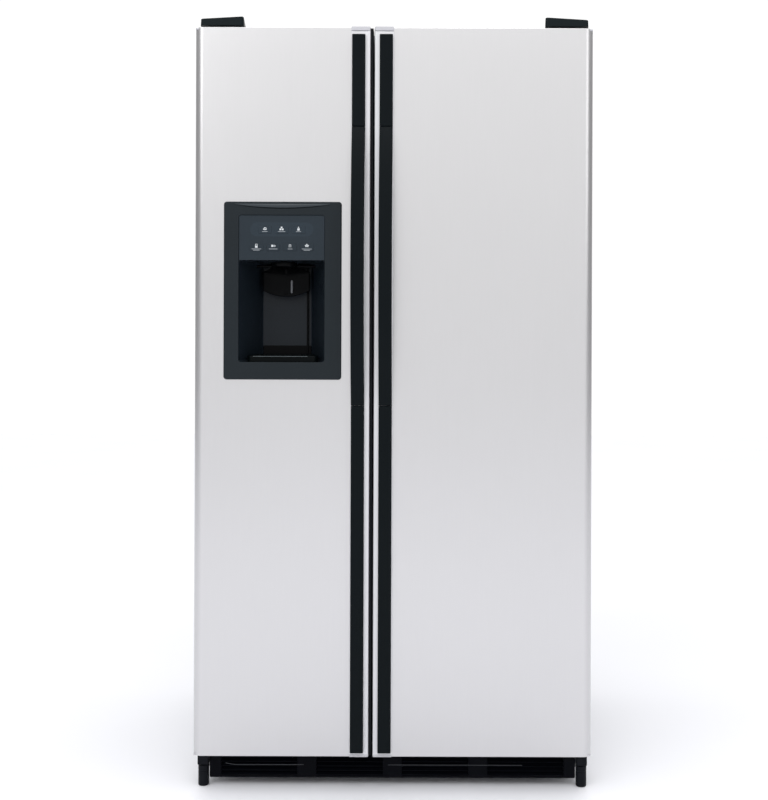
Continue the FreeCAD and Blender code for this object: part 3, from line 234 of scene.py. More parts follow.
def door_shell(low, high, hinge, hole):
    """The plan of a door is a seam side, a quarter circle of 3, the front, a quarter circle of 20,
    and the hinge side; every row repeats it at its own inset and level."""
    rows = door_rows(low[2], high[2], hole[0][2], hole[1][2])
    inset, level = rows.T[:, :, None]
    seam_x, hinge_x = (high[0], low[0]) if hinge < 0 else (low[0], high[0])
    turn = np.linspace(0, np.pi / 2, 9)
    small, large = np.maximum(3, inset + 0.3), 20
    back = np.full_like(inset, high[1])
    seam, far = seam_x + hinge * inset, hinge_x - hinge * inset
    front = low[1] + inset
    first_x = seam_x + hinge * (small - (small - inset) * np.cos(turn))
    first_y = low[1] + small - (small - inset) * np.sin(turn)
    stops = np.sort([hole[0][0], hole[1][0]])[::int(hinge)]
    across = np.broadcast_to(stops, (len(rows), 2))
    last_x = hinge_x - hinge * (large - (large - inset) * np.sin(turn))
    last_y = low[1] + large - (large - inset) * np.cos(turn)
    x = np.hstack([seam, first_x, across, last_x, far])
    y = np.hstack([back, first_y, front, front, last_y, back])
    z = np.broadcast_to(level, x.shape)
    return np.stack([x, y, z], -1), rows


skins = {"freezer_door": -1, "fresh_door": 1}
well_hole = corners("dispenser_housing")
for door, hinge in skins.items():
    low, high = corners(door + "_skin")
    hole = well_hole if hinge < 0 else [low + 60, high - 60]
    grid, rows = door_shell(low, high, hinge, hole)
    holes = np.zeros((grid.shape[0] - 1, grid.shape[1] - 1), bool)
    if hinge < 0:
        inside = (rows[:-1, 1] >= hole[0][2] - 0.1) & (rows[1:, 1] <= hole[1][2] + 0.1)
        holes[inside, 10] = True
    piece(door + "_shell", door, Shell().sheet(grid, holes), steel,
          (door + "_skin", door + "_foam"), thick=1.2)


# ---------------- door end caps
# Moulded grey panels close the top and bottom of each steel shell, a little below its flanges,
# and hold the foam in.


def rectangle(middle, half, radius, steps=6):
    """Round-cornered rectangles (k, n, 2): each corner is a quarter circle about its own centre,
    the angle running once round."""
    angle = (np.arange(4)[:, None] * np.pi / 2 + np.linspace(0, np.pi / 2, steps + 1)).ravel()
    sign = np.repeat([[1, 1], [-1, 1], [-1, -1], [1, -1]], steps + 1, axis=0)
    spoke = np.stack([np.cos(angle), np.sin(angle)], -1)
    middle, half = np.atleast_2d(middle)[:, None], np.atleast_2d(half)[:, None]
    radius = np.reshape(radius, (-1, 1, 1))
    return middle + sign * (half - radius) + radius * spoke


def stack(low, high, corner, profile, axis=1, steps=6):
    """Rings of a round-cornered rectangle piled along an axis: a row (inset, level) of the profile
    draws the rectangle from low to high, brought in by inset, at that level."""
    low, high = np.delete(low, axis), np.delete(high, axis)
    inset, level = np.array(profile, float).T
    half = (high - low) / 2 - inset[:, None]
    rings = rectangle((low + high) / 2, half, np.maximum(corner - inset, 0.15), steps)
    return np.insert(rings, axis, level[:, None], axis=2)


def quarter(edge, level, away, steps=3):
    """A quarter circle of a profile: from inset edge at the given level to inset 0 further on."""
    turn = np.linspace(0, np.pi / 2, steps + 1)
    return np.stack([edge * (1 - np.sin(turn)), level + away * edge * (1 - np.cos(turn))], 1)


def slab(low, high, corner, edge, axis=1, steps=6):
    """A block whose outline has round corners and whose two faces end in quarter circles."""
    profile = np.vstack([quarter(edge, low[axis], 1), quarter(edge, high[axis], -1)[::-1]])
    return stack(low, high, corner, profile, axis, steps)


def plastic(name, colour, rough, relief=0.00004, grain=900, **constants):
    """Moulded plastic or paint: a fine leathery grain, and a gloss that varies a little."""
    def look(where):
        fine, broad = where.noise(grain, 3), where.noise(7)
        darker, lighter = [tuple(tone * part for part in colour) for tone in (0.97, 1.03)]
        return {"Base Color": broad.ramp(0.3, 0.7).blend(darker, lighter),
                "Roughness": (fine * 0.5 + broad * 0.5).ramp(0.3, 0.7, rough * 0.86, rough * 1.14),
                "Normal": fine.ramp(0.35, 0.65).bump(relief)}
    return finish(name, colour, rough, look, **constants)


grey_plastic = plastic("end_cap_grey", (0.5, 0.5, 0.53), 0.5)
for door in skins:
    low, high = corners(door + "_skin")
    caps = Shell()
    for level in (low[2] + 1.6, high[2] - 4.6):
        caps.block((low[0] + 2, low[1] + 3, level), (high[0] - 2, high[1] - 2, level + 3),
                   2, 0.6, axis=2)
    piece(door + "_end_caps", door, caps, grey_plastic)

# ---------------- handles
# A bright satin moulding runs the height of each door beside the seam.  On it stand a black trim
# above, a black trim below, and between them a grip that bows out so that fingers go behind it.

black = plastic("handle_black", (0.0035, 0.0055, 0.0068), 0.3, Specular_IOR_Level=0.06)


def metal(name, colour, rough, scale, gloss, metallic, stretch=(1, 1, 1)):
    """Bare metal, whose roughness varies between the two values of gloss."""
    def look(where):
        return {"Roughness": where.noise(scale, 3, stretch).ramp(0.3, 0.7, *gloss)}
    return finish(name, colour, rough, look, Metallic=metallic)


satin = metal("carrier_satin", (0.66, 0.66, 0.68), 0.36, 900, (0.3, 0.42), 0.6, (1, 1, 0.02))


def upright(x_low, x_high, front, back, level, corner):
    """A bar standing along Z: at each level, a round-cornered rectangle from front to back."""
    middle = np.stack([np.full_like(front, (x_low + x_high) / 2), (front + back) / 2], -1)
    half = np.stack([np.full_like(front, (x_high - x_low) / 2), (back - front) / 2], -1)
    return np.insert(rectangle(middle, half, corner), 2, level[:, None], axis=2)


def softened(start, end, edge, many):
    """Levels from start to end with close pairs at both ends, and how far each is drawn in."""
    level = np.concatenate([[start, start + edge], np.linspace(start + 3, end - 3, many),
                            [end - edge, end]])
    inset = np.zeros_like(level)
    inset[[0, -1]] = edge
    return level, inset


for door, hinge in skins.items():
    skin_low, skin_high = corners(door + "_skin")
    low, high = corners(door + "_handle")
    face = skin_low[1]
    trim, reach = face - 14, face - 49.5
    grip_low, grip_high, seam, foot = 879, 1510, 0.8, 45
    outer, inner = (low[0] - 2, high[0] + 11) if hinge < 0 else (low[0] - 11, high[0] + 2)
    carrier = Shell().block((outer, face - 2.2, skin_low[2] + 3),
                            (inner, face + 0.5, skin_high[2] - 9), 2, 1.4)
    cap = slab((outer, face - 3.4, skin_high[2] - 8.6), (inner, face + 9, skin_high[2] + 1.6),
               2.2, 1.8)
    foot_cap = slab((outer, face - 3, skin_low[2] - 0.2), (inner, face + 4, skin_low[2] + 6),
                    2, 1.5)
    piece(door + "_carrier", door, carrier, satin)
    piece(door + "_carrier_caps", door, Shell().loft(cap).loft(foot_cap),
          grey_plastic)
    handle = Shell()
    for start, end in ((low[2], grip_low - seam), (grip_high + seam, high[2] - 6.5)):
        level, inset = softened(start, end, 1.2, 5)
        handle.loft(upright(low[0], high[0], trim + inset, face, level, 3.2))
    level, inset = softened(grip_low, grip_high, 1.2, 61)
    along = (level - grip_low) / (grip_high - grip_low)
    inside = np.clip((level - grip_low - foot) / (grip_high - grip_low - 2 * foot), 0, 1)
    bow = trim + (reach - trim) * 4 * along * (1 - along)
    back = face + (reach + 12 - face) * np.sqrt(4 * inside * (1 - inside)) ** 1.3
    handle.loft(upright(low[0], high[0], bow + inset, np.maximum(back, bow + 10), level, 3.2))
    piece(door + "_grip", door, handle, black, (door + "_handle",))

# ---------------- dispenser surround and fascia
# One black moulding frames the opening, its top edge scooped; the glossy grey fascia above the
# well carries seven membrane keys, each with a small printed sign and a bar under it.

bezel_black = plastic("bezel_black", (0.01, 0.0145, 0.018), 0.4, Specular_IOR_Level=0.16)
well_black = plastic("well_black", (0.0085, 0.0125, 0.0175), 0.3, Specular_IOR_Level=0.18)
fascia_grey = plastic("fascia_grey", (0.018, 0.026, 0.034), 0.3, 0.00001, Specular_IOR_Level=0.16)
fascia_light = plastic("fascia_light", (0.021, 0.031, 0.041), 0.3, 0.00001, Specular_IOR_Level=0.16)
print_white = plastic("print_white", (0.55, 0.58, 0.6), 0.45, 0.00001)
print_grey = plastic("print_grey", (0.22, 0.24, 0.26), 0.45, 0.00001)

# the middle of the dispenser, and the levels of its well's floor and roof
well_x, well_floor, well_roof = -254, 977, 1208
low, high = corners("dispenser_bezel")
low[0] += 4.5
well_low, well_high = np.array([-351, 0, well_floor]), np.array([-157, 0, 1310])
front, back = low[1], high[1]


def framed(outset, level, box_low, box_high, radius):
    """One ring of the surround: a rectangle grown by outset, at a depth."""
    middle = (box_low + box_high)[[0, 2]] / 2
    half = (box_high - box_low)[[0, 2]] / 2 + outset
    return np.insert(rectangle(middle, half, max(radius + outset, 0.3), 8)[0], 1, level, axis=1)


outer_rings = [(0, back, 7), (0, back - 1.6, 7), (-0.6, front + 1.6, 7),
               (-1.6, front + 0.5, 7), (-3.2, front, 7)]
inner_rings = [(2.4, front, 6), (0.8, front + 0.6, 6), (0, front + 2, 6), (0, back + 8, 6)]
rings = [framed(outset, level, low, high, radius) for outset, level, radius in outer_rings]
rings += [framed(outset, level, well_low, well_high, radius)
          for outset, level, radius in inner_rings]
rings = np.array(rings)
top = np.clip((rings[:, :, 2] - high[2] + 16) / 16, 0, 1)
hollow = np.clip(1 - ((rings[:, :, 0] - well_x) / 122) ** 2, 0, 1)
rings[3:5, :, 1] += (top * hollow * 3.2)[3:5]
rings[3:5, :, 2] -= (top * hollow * 9)[3:5] * (np.array([0.45, 1])[:, None])
piece("dispenser_surround", "freezer_door", Shell().loft(rings, looped=True),
      bezel_black, ("dispenser_bezel",))
# The scoop is a thin lens laid on the scooped top of the surround; its lighter blue-grey is a
# painted highlight on its upper face.
across, down = np.meshgrid(np.linspace(-1, 1, 41), np.linspace(0, 1, 9))
bow = 1 - across * across
scoop = np.stack([-252 + 108 * across, front - 0.05 - 1.1 * bow * np.sin(np.pi * down),
                  high[2] - 5 - (1 + 9 * bow) * down], -1)
piece("surround_scoop", "freezer_door", Shell().sheet(scoop),
      plastic("scoop_painted_highlight", (0.012, 0.02, 0.027), 0.3),
      thick=0.8)
# A black strip along the lens's lower edge is painted shade under the scoop.
shade = scoop[-3:] - (0, 0.25, 0)
shade[0, :, 2] -= 1.6
shade[1:, :, 2] -= 1.2
piece("scoop_painted_shade", "freezer_door", Shell().sheet(shade), black, thick=0.4)

low, high = corners("control_panel")
fascia = Shell().block(low, high, 1.5, 0.8)
piece("fascia", "freezer_door", fascia, fascia_grey, ("control_panel",))
capsule = slab((-326, low[1] - 0.06, 1262), (-182, low[1] + 0.5, 1294), 15.9, 0.3)
piece("fascia_capsule", "freezer_door", Shell().loft(capsule), fascia_light)


def dot(x, z, wide, high, lift, corner=None):
    """A printed mark: a thin slab of ink standing on a key's face."""
    corner = min(wide, high) / 2 - 0.01 if corner is None else corner
    return slab((x - wide / 2, lift - 0.12, z - high / 2), (x + wide / 2, lift + 0.1, z + high / 2),
                corner, 0.05, steps=3)


# signs: x, z, width and height of each stroke from the key's middle
signs = {
    "key_crushed": [(-2.2, -0.8, 2.2, 2.4), (0.4, -1.6, 2.4, 2.2), (2.6, -0.6, 2, 2.2),
                    (-0.6, 1.6, 2.2, 2), (1.8, 2, 1.8, 1.6)],
    "key_cubed": [(-2.4, -1.2, 3.4, 3.4), (2, -1.2, 3.4, 3.4), (-0.2, 2.6, 3.2, 3)],
    "key_water": [(0, -1.2, 4.4, 4.2), (0, 1.4, 2.6, 3), (0, 3.2, 1.2, 2.4)],
    "key_lock": [(0, -1.2, 4.8, 4.2), (-1.7, 2.2, 0.9, 3), (1.7, 2.2, 0.9, 3), (0, 3.9, 4.2, 0.9)],
    "key_light": [(-1.6, 0.6, 4.2, 4.2), (2.2, 0.6, 0.9, 4.4), (4, 0.6, 0.8, 3)],
    "key_fast": [(-1.6, 0.4, 1, 5.4), (1.6, 0.4, 1, 5.4), (0, 3, 3.4, 0.9)],
    "key_filter": [(0, 1.6, 7.6, 1.6), (0, -0.6, 6, 1.4), (0, 3.6, 3, 1.4)],
}
bars = {"key_crushed": (13,), "key_cubed": (17,), "key_water": (12,),
        "key_lock": (22, 15), "key_light": (20,), "key_fast": (11,),
        "key_filter": (23, 15)}
for key, strokes in signs.items():
    low, high = corners(key)
    low, high = low + (0.2, 0, 0.2), high - (0.2, 0, 0.2)
    middle = (low + high) / 2
    face = fascia_light if key in ("key_crushed", "key_cubed", "key_water") else fascia_grey
    piece(key + "_cap", key, Shell().block(low, high, 3, 0.7), face, (key,))
    ink = Shell()
    for x, z, wide, tall in strokes:
        ink.loft(dot(middle[0] + 1.2 * x, middle[2] + 2.2 + z * 1.15, 1.2 * wide, 1.15 * tall,
                     low[1], 0.4))
    piece(key + "_sign", key, ink, print_white)
    text = Shell()
    for row, wide in enumerate(bars[key]):
        wide = min(wide, high[0] - low[0] - 2.5)
        text.loft(dot(middle[0], low[2] + 4.2 - 2.8 * row, wide, 1.5, low[1]))
    piece(key + "_bar", key, text, print_grey)

# ---------------- dispenser well
# A single deep black moulding: wide at the mouth, its cheeks slanting in to a narrow flat back,
# with the ice chute in its roof, a bell-shaped paddle hung in front, and a slotted drip tray.

low, high = corners("dispenser_housing")
mouth, deep = high[1] - 118, high[1] - 3
share = np.array([0, 0.02, 0.1, 0.97, 1])
half = 97 + (59 - 97) * share
middle_z, half_z = (well_floor + well_roof) / 2, (well_roof - well_floor) / 2
depth = mouth + (deep - mouth) * share
centre = np.stack([np.full(5, well_x), np.full(5, middle_z)], -1)
inner = rectangle(centre, np.stack([half, np.full(5, half_z)], -1), [6, 6, 8, 9, 5], 8)
inner = np.insert(inner, 1, depth[:, None], axis=2)
inner[-1] = np.insert(rectangle(centre[-1], (half[-1] - 4, half_z - 4), 5, 8)[0], 1, deep, axis=1)
outer = np.array([
    framed(0, deep + 3, np.array([-317, 0, 975]), np.array([-191, 0, 1211]), 6),
    framed(0, mouth, np.array([-353.5, 0, 974.5]), np.array([-154.5, 0, 1211]), 6)])
well = Shell().loft(np.concatenate([inner[::-1], outer[::-1]]))
piece("dispenser_well", "freezer_door", well, well_black, ("dispenser_housing",))


def turned(profile, centre, axis=2, sides=40):
    """A turned part: each row (radius, level) of the profile is a circle about the axis."""
    angle = np.linspace(0, 2 * np.pi, sides, endpoint=False)
    radius, level = np.array(profile, float).T
    circle = radius[:, None, None] * np.stack([np.cos(angle), np.sin(angle)], -1)
    rings = np.insert(circle, axis, level[:, None], axis=2)
    return rings + np.asarray(centre, float)


chute = turned([(30, 1207), (31, 1202), (29, 1197), (26, 1197), (27, 1202), (27, 1207.5)],
               (well_x, -330, 0))
paddle_black = plastic("paddle_black", (0.0015, 0.0018, 0.0022), 0.22, Specular_IOR_Level=0.05)
trench = Shell().loft(chute, looped=True)
trench.block((-207.6, deep - 7.5, 981), (-203.2, deep + 1, 1204), 1.2, 1)
trench.block((-311, deep - 4, 978), (-197, deep + 1, 1017), 3, 1.5)
piece("ice_chute", "freezer_door", trench, paddle_black)


def paddle():
    """The paddle's outline at height share t from its neck: a bell, its half width following a
    falling-off power from the neck out to the skirt; across, the sheet bows forward as a shallow
    arc, and its hem hangs lower in the middle by a parabola."""
    t = np.linspace(0, 1, 31)[:, None]
    s = np.linspace(-1, 1, 33)[None, :]
    flare = np.clip(t / 0.3, 0, 1)
    half = 29 + 26.5 * flare ** 1.6
    x = well_x + half * s
    z = 1206 - t * (60 + 15 * (1 - s * s))
    y = -297.5 - 4.5 * (1 - s * s) * np.sin(np.pi * t * 0.9)
    return np.stack([x, y, z], -1)


pad = Shell().sheet(paddle())
piece("dispenser_paddle", "dispenser_pad", pad, paddle_black, thick=2.2)
pad_stem = Shell().block((-257.5, -300.8, 1135), (-250.5, -294, 1196), 2, 1.4)
pad_stem.loft(turned([(0.1, -73), (3, -73), (3, 73), (0.1, 73)], (well_x, -296, 1202), axis=0))
piece("dispenser_paddle_pin", "dispenser_pad", pad_stem, paddle_black,
      ("dispenser_pad",))

# The spout's light grey is partly its own colour and partly a painted highlight: a light streak
# standing on the black paddle.
spout = Shell().loft(turned([(0.1, 1169), (2.2, 1168.4), (3, 1166), (2.6, 1141), (1.9, 1139),
                             (0.1, 1139)], (-240, -304.6, 0), sides=20))
spout.block((-242, -304, 1158), (-238, -298, 1166), 1.5, 0.8)
piece("water_spout", "dispenser_pad", spout,
      plastic("spout_grey_and_painted_highlight", (0.1, 0.105, 0.115), 0.25))

tray_grey = plastic("tray_dark", (0.0015, 0.0028, 0.0032), 0.25, Specular_IOR_Level=0.06)
low, high = corners("drip_grille")
tray = Shell()
rim = stack(low, high, 10, [(0, low[2]), (0, high[2] - 2), (0.8, high[2] - 0.5), (2, high[2]),
                              (4, high[2]), (5.5, high[2] - 1.2), (6, high[2] - 4),
                              (6, low[2] + 2.2)], axis=2)
front_share = np.clip((high[1] - rim[:, :, 1]) / (high[1] - low[1]), 0, 1)
rim[:, :, 0] = well_x + (rim[:, :, 0] - well_x) * (1 + 0.3 * front_share)
rim[:, :, 1] -= 9 * front_share * (1 - ((rim[:, :, 0] - well_x) / 86) ** 2)
rim[:, :, 2] -= 5 * front_share ** 4 * (rim[:, :, 2] > low[2] + 4)
tray.loft(rim)
for x in np.linspace(low[0] + 12, high[0] - 12, 10):
    tray.block((x - 1.8, low[1] + 5, high[2] - 5), (x + 1.8, high[1] - 5, high[2] - 1.6),
               1.2, 0.8, axis=2, steps=2)
piece("drip_tray", "drip_grille", tray, tray_grey, ("drip_grille",))
# A thin light-grey arc along the tray's top front edge is a painted highlight.
sweep = np.linspace(-62, 62, 31)
place = np.stack([-258 + sweep, low[1] - 8.9 * (1 - (sweep / 86) ** 2) - 0.15,
                  np.full(31, high[2] - 6.2)], -1)
lip = Shell().loft(np.insert(rectangle(place[:, 1:], (0.5, 0.75), 0.45, 2), 0,
                             place[:, :1], axis=2))
piece("tray_lip_painted_highlight", "drip_grille", lip, plastic("lip_painted_highlight_grey", (0.05, 0.066, 0.07), 0.25))

# ---------------- hinge covers and hinges
# Black moulded covers hide the upper hinges, lower at their outer ends; under them are plated
# steel leaves with a pin down into each door, held by hexagon-headed screws.

cover_black = plastic("cover_black", (0.005, 0.009, 0.0105), 0.34, Specular_IOR_Level=0.09)
plated = metal("plated_steel", (0.6, 0.6, 0.58), 0.3, 260, (0.22, 0.4), 0.9)
low, high = corners("hinge_covers")
for side, sign in (("left", -1), ("right", 1)):
    ends = np.sort([sign * (high[0] - 100), sign * high[0]])
    profile = [(2.5, low[2]), (0, low[2]), (0, low[2] + 3), (0.6, high[2] - 3.4)]
    profile += [(0.6 + inset, level) for inset, level in quarter(3, high[2], -1)[::-1]]
    rings = stack((ends[0], *low[1:]), (ends[1], *high[1:]), 7, profile, axis=2, steps=8)
    outside = np.clip((sign * rings[:, :, 0] - high[0] + 13) / 3, 0, 1)
    inside = np.clip((high[0] - sign * rings[:, :, 0]) / 100, 0, 1)
    forward = np.clip((high[1] - rings[:, :, 1]) / (high[1] - low[1]), 0, 1)
    tall = np.clip((rings[:, :, 2] - low[2]) / (high[2] - low[2]), 0, 1)
    rings[:, :, 2] -= (2.5 * outside + 3 * (1 - inside) + 4.5 * forward) * tall
    rings[:, :, 0] += sign * inside * (1 - forward) * 16
    cover = Shell().loft(rings)
    for rib in (-60, -30):
        x = sign * (high[0] + rib)
        cover.block((x - 1.2, high[1] - 70, high[2] - 0.8), (x + 1.2, high[1] - 12, high[2] - 0.1),
                    1.1, 0.3, axis=2, steps=3)
    piece("hinge_cover_" + side, "cabinet", cover, cover_black, ("hinge_covers",))


def dress(material, *names):
    """Gives CAD nodes, whose shapes are right as they are, their finish."""
    for name in names:
        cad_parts[name].data.materials.clear()
        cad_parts[name].data.materials.append(material)


dress(plated, "top_hinges", "hinge_screws")
bracket_black = plastic("bracket_black", (0.0045, 0.0055, 0.008), 0.36, 0.00006, 500,
                       Specular_IOR_Level=0.09)

# ---------------- lower brackets and legs
# Black cast brackets carry the doors' lower pins and the threaded levelling legs, whose round
# plastic feet reach the floor.

low, high = corners("bottom_hinges")
for side, sign in (("left", -1), ("right", 1)):
    leg_low, leg_high = corners("leveling_leg_" + side)
    block = Shell().block((leg_low[0], leg_low[1], 50), (leg_high[0], leg_high[1], 80),
                          2.5, 1.2, axis=2)
    block.block((leg_low[0] + 0.5, leg_high[1] - 12, 68), (leg_high[0] - 0.5, high[1], 72),
                1, 0.6, axis=2)
    block.block((leg_low[0] + 0.5, high[1] - 5.2, 45), (leg_high[0] - 0.5, high[1], 79), 3, 0.8)
    pivot = sign * 432
    block.loft(turned([(0.1, 72), (9.5, 72), (9.5, 79.4), (9, 80), (5, 80), (5, 98), (4, 99),
                       (0.1, 99)], (pivot, -343, 0), sides=28))
    piece("lower_bracket_" + side, "cabinet", block, bracket_black,
          ("bottom_hinges",))
    centre = ((leg_low[0] + leg_high[0]) / 2, (leg_low[1] + leg_high[1]) / 2, 0)
    leg = Shell().loft(turned([(0.1, 0), (9.3, 0), (11.2, 0.8), (12.1, 2.2), (12.4, 4), (12.4, 34),
                               (11.8, 34.6), (11.8, 36), (12.4, 36.6), (12.4, 47.2), (11.6, 48),
                               (5, 48), (5, 69), (0.1, 70)], centre))
    piece("leg_" + side, "leveling_leg_" + side, leg, bracket_black,
          ("leveling_leg_" + side,))

# ---------------- toe grille
# A black moulding clipped under the doors: plain ends, four bays of sloping louvres between
# posts, and a ledge half way up whose lighter grey is a painted highlight.

grille_black = plastic("grille_black", (0.002, 0.0024, 0.004), 0.38, Specular_IOR_Level=0.04)
low, high = corners("base_grille")
grille = Shell()
x_low, x_high, y_face = low[0], high[0], low[1]
for start, end in ((x_low, -395), (395, x_high)):
    grille.block((start, y_face, low[2]), (end, y_face + 12, high[2]), 3, 1.6)
for post in (-197.5, 0, 197.5):
    grille.block((post - 22, y_face + 0.6, low[2]), (post + 22, y_face + 8, high[2]), 1.5, 1.2)
grille.block((x_low + 4, y_face, high[2] - 6), (x_high - 4, y_face + 26, high[2]), 1.5, 1.2)
grille.block((x_low + 4, y_face + 0.4, low[2]), (x_high - 4, y_face + 9, low[2] + 5), 1.5, 1.2)
for level in low[2] + np.arange(10, 60, 10):
    section = rectangle((0, 0), (6.6, 1), 0.9, 3)[0]
    slope = np.radians(35)
    turn = np.array([[np.cos(slope), -np.sin(slope)], [np.sin(slope), np.cos(slope)]])
    section = section @ turn.T + (y_face + 6.5, level)
    grille.loft(np.array([np.insert(section, 0, x, axis=1) for x in (-396, 396)]))
for sign in (-1, 1):
    ends = np.sort([sign * 330, sign * 348])
    grille.block((ends[0], y_face + 24, high[2] - 9), (ends[1], high[1], high[2] - 0.5), 2, 1)
# The ledge is a thin strip in lighter grey: a painted highlight along the grille.
edge = Shell()
for start, end in ((-385, -205), (-10, 300)):
    ledge = np.linspace(0, 1, 24)
    sag = 3.6 * (start < -300) * np.clip(1 - ledge / 0.12, 0, 1) ** 1.5
    x = start + (end - start) * ledge
    middle = np.stack([np.full(24, y_face + 0.9), low[2] + 29.5 + sag], -1)
    rings = rectangle(middle, (0.7, 0.6), 0.5, 2)
    edge.loft(np.insert(rings, 0, x[:, None], axis=2))
piece("toe_grille", "base_grille", grille, grille_black, ("base_grille",))
piece("grille_ledge_painted_highlight", "base_grille", edge,
      plastic("ledge_painted_highlight_grey", (0.045, 0.05, 0.058), 0.35))

# ---------------- cabinet wrap
# One sheet of painted steel, with an orange-peel texture, folded over both sides and the top and
# turned in at the front; a painted mullion and a sill close the front between the compartments.


def orange_peel(where):
    """Pebbled paint: soft cells a couple of millimetres across."""
    cells = where.noise(420, 1.5)
    broad = where.noise(4, 2)
    return {"Base Color": broad.ramp(0.3, 0.7).blend((0.262, 0.267, 0.277), (0.278, 0.283, 0.293)),
            "Roughness": cells.ramp(0.35, 0.65, 0.36, 0.5),
            "Normal": cells.ramp(0.35, 0.65).bump(0.00015)}


paint = finish("cabinet_paint", (0.27, 0.275, 0.285), 0.42, orange_peel)
low, high = corners("cabinet_shell")


def wrap(inset):
    """The section of the wrap: up one side, a quarter circle of 7, across the top, a quarter
    circle, and down the other side, brought in by inset."""
    turn = np.linspace(0, np.pi / 2, 7)
    radius = max(7 - inset, 0.4)
    edge, roof = high[0] - inset, high[2] - inset
    left = np.stack([-edge + radius * (1 - np.cos(turn)), roof - radius * (1 - np.sin(turn))], 1)
    sides = np.linspace(low[2], high[2] - 40, 6)
    up = np.stack([np.full(6, -edge), sides], 1)
    half = np.vstack([up, left])
    across = np.stack([np.linspace(-380, 380, 5), np.full(5, roof)], 1)
    return np.vstack([half, across, (half * (-1, 1))[::-1]])


rows = [(24, low[1] + 0.1), (2, low[1] + 0.1), (0.6, low[1] + 0.6), (0, low[1] + 2),
        (0, 60), (0, high[1] - 3), (0, high[1] - 1.2)]
body = Shell().sheet(np.array([np.insert(wrap(inset), 1, level, axis=1) for inset, level in rows]))
piece("cabinet_wrap", "cabinet", body, paint,
      ("cabinet_shell", "cabinet_foam"), thick=1.1)
front = Shell()
front.block((-72.5, low[1] + 0.1, 138), (-25.5, low[1] + 4, 1702), 1, 0.8)
front.block((-449, low[1] + 0.2, 84.5), (449, low[1] + 4, 141), 1, 0.8)
front.block((-449, low[1] + 0.2, 1699), (449, low[1] + 4, 1743.5), 1, 0.8)
for x_low, x_high in ((-449, -403.5), (403.5, 449)):
    front.block((x_low, low[1] + 0.2, 140), (x_high, low[1] + 4, 1700), 1, 0.8)
piece("front_flange", "cabinet", front, paint)

# ---------------- back of the cabinet
# A galvanised sheet with pressed ribs is screwed over the foam, and below it a slotted black
# fibre board covers the machine compartment, notched round the water inlet.


def spangle(where):
    """Zinc spangle: broad crystals, each of its own tone."""
    cell = where.node("TexVoronoi", None, {"Vector": where, "Scale": 95}, 1)
    tone = cell.node("SeparateColor", None, {0: cell})
    return {"Base Color": tone.blend((0.535, 0.545, 0.555), (0.585, 0.595, 0.605)),
            "Roughness": tone.ramp(0, 1, 0.4, 0.5)}


zinc = finish("galvanised", (0.56, 0.57, 0.58), 0.45, spangle, Metallic=0.7)
low, high = corners("back_panel")
x = np.linspace(low[0] + 0.3, high[0] - 0.3, 121)[None, :]
z = np.linspace(low[2] + 0.3, high[2] - 0.3, 91)[:, None]
edge = np.minimum(np.minimum(x - low[0], high[0] - x) - 45, np.minimum(z - low[2], high[2] - z) - 60)
rib = np.clip(1 - ((z - low[2]) % 181.8 - 90.9) ** 2 / 196, 0, 1) * np.clip(edge / 14, 0, 1)
relief = high[1] - 1 + 0.95 * rib * rib * (3 - 2 * rib)
panel = Shell().sheet(np.stack(np.broadcast_arrays(x, relief, z), -1))
heads = Shell()
for x in np.linspace(low[0] + 12, high[0] - 12, 8):
    for z in (low[2] + 12, high[2] - 12):
        heads.loft(turned([(0.1, high[1] - 1.1), (4.4, high[1] - 1.1), (4, high[1] - 0.3),
                           (1.5, high[1] - 0.05), (0.1, high[1] - 0.05)], (x, 0, z), 1, 12))
piece("back_sheet", "cabinet", panel, zinc, ("back_panel",), thick=0.2)
piece("back_screws", "cabinet", heads, plated)


fibre = plastic("fibre_board", (0.035, 0.034, 0.033), 0.75, 0.00012, 700)
dress(fibre, "rear_cover")
dress(metal("frame_steel", (0.3, 0.3, 0.31), 0.4, 90, (0.3, 0.5), 0.7), "base_frame")
compressor_paint = plastic("compressor_paint", (0.012, 0.012, 0.013), 0.25, 0.00008, 250)
dress(compressor_paint, "compressor")
aluminium = metal("coil_aluminium", (0.72, 0.73, 0.74), 0.35, 60, (0.28, 0.46), 0.9)
dress(aluminium, "condenser", "evaporator")
dress(plastic("valve_plastic", (0.68, 0.69, 0.64), 0.45), "water_valve", "fan_motors")
dress(cover_black, "condenser_fan", "evaporator_fan")

# ---------------- rear rollers
# Moulded wheels with a crowned tread and a dished web turn on axles riveted to the rails.

roller_grey = plastic("roller_plastic", (0.06, 0.06, 0.062), 0.5)
for side in ("left", "right"):
    low, high = corners("rear_roller_" + side)
    x_low, x_high = low[0] + 0.1, high[0] - 0.1
    centre = (0, (low[1] + high[1]) / 2, (low[2] + high[2]) / 2)
    wheel = Shell().loft(turned(
        [(3.7, x_low), (7, x_low), (8, x_low + 3), (19.5, x_low + 3), (20.5, x_low),
         (23.6, x_low + 0.6), (24.6, x_low + 4), (24.95, (x_low + x_high) / 2),
         (24.6, x_high - 4), (23.6, x_high - 0.6), (20.5, x_high), (19.5, x_high - 3),
         (8, x_high - 3), (7, x_high), (3.7, x_high)], centre, 0, 44), looped=True)
    piece("roller_" + side, "rear_roller_" + side, wheel, roller_grey,
          ("rear_roller_" + side,))

# ---------------- compartment liners
# Each compartment is one white vacuum-formed shell with round inner corners, stepped over the
# machine compartment, with ribs along its sides that the drawers and shelves rest on.

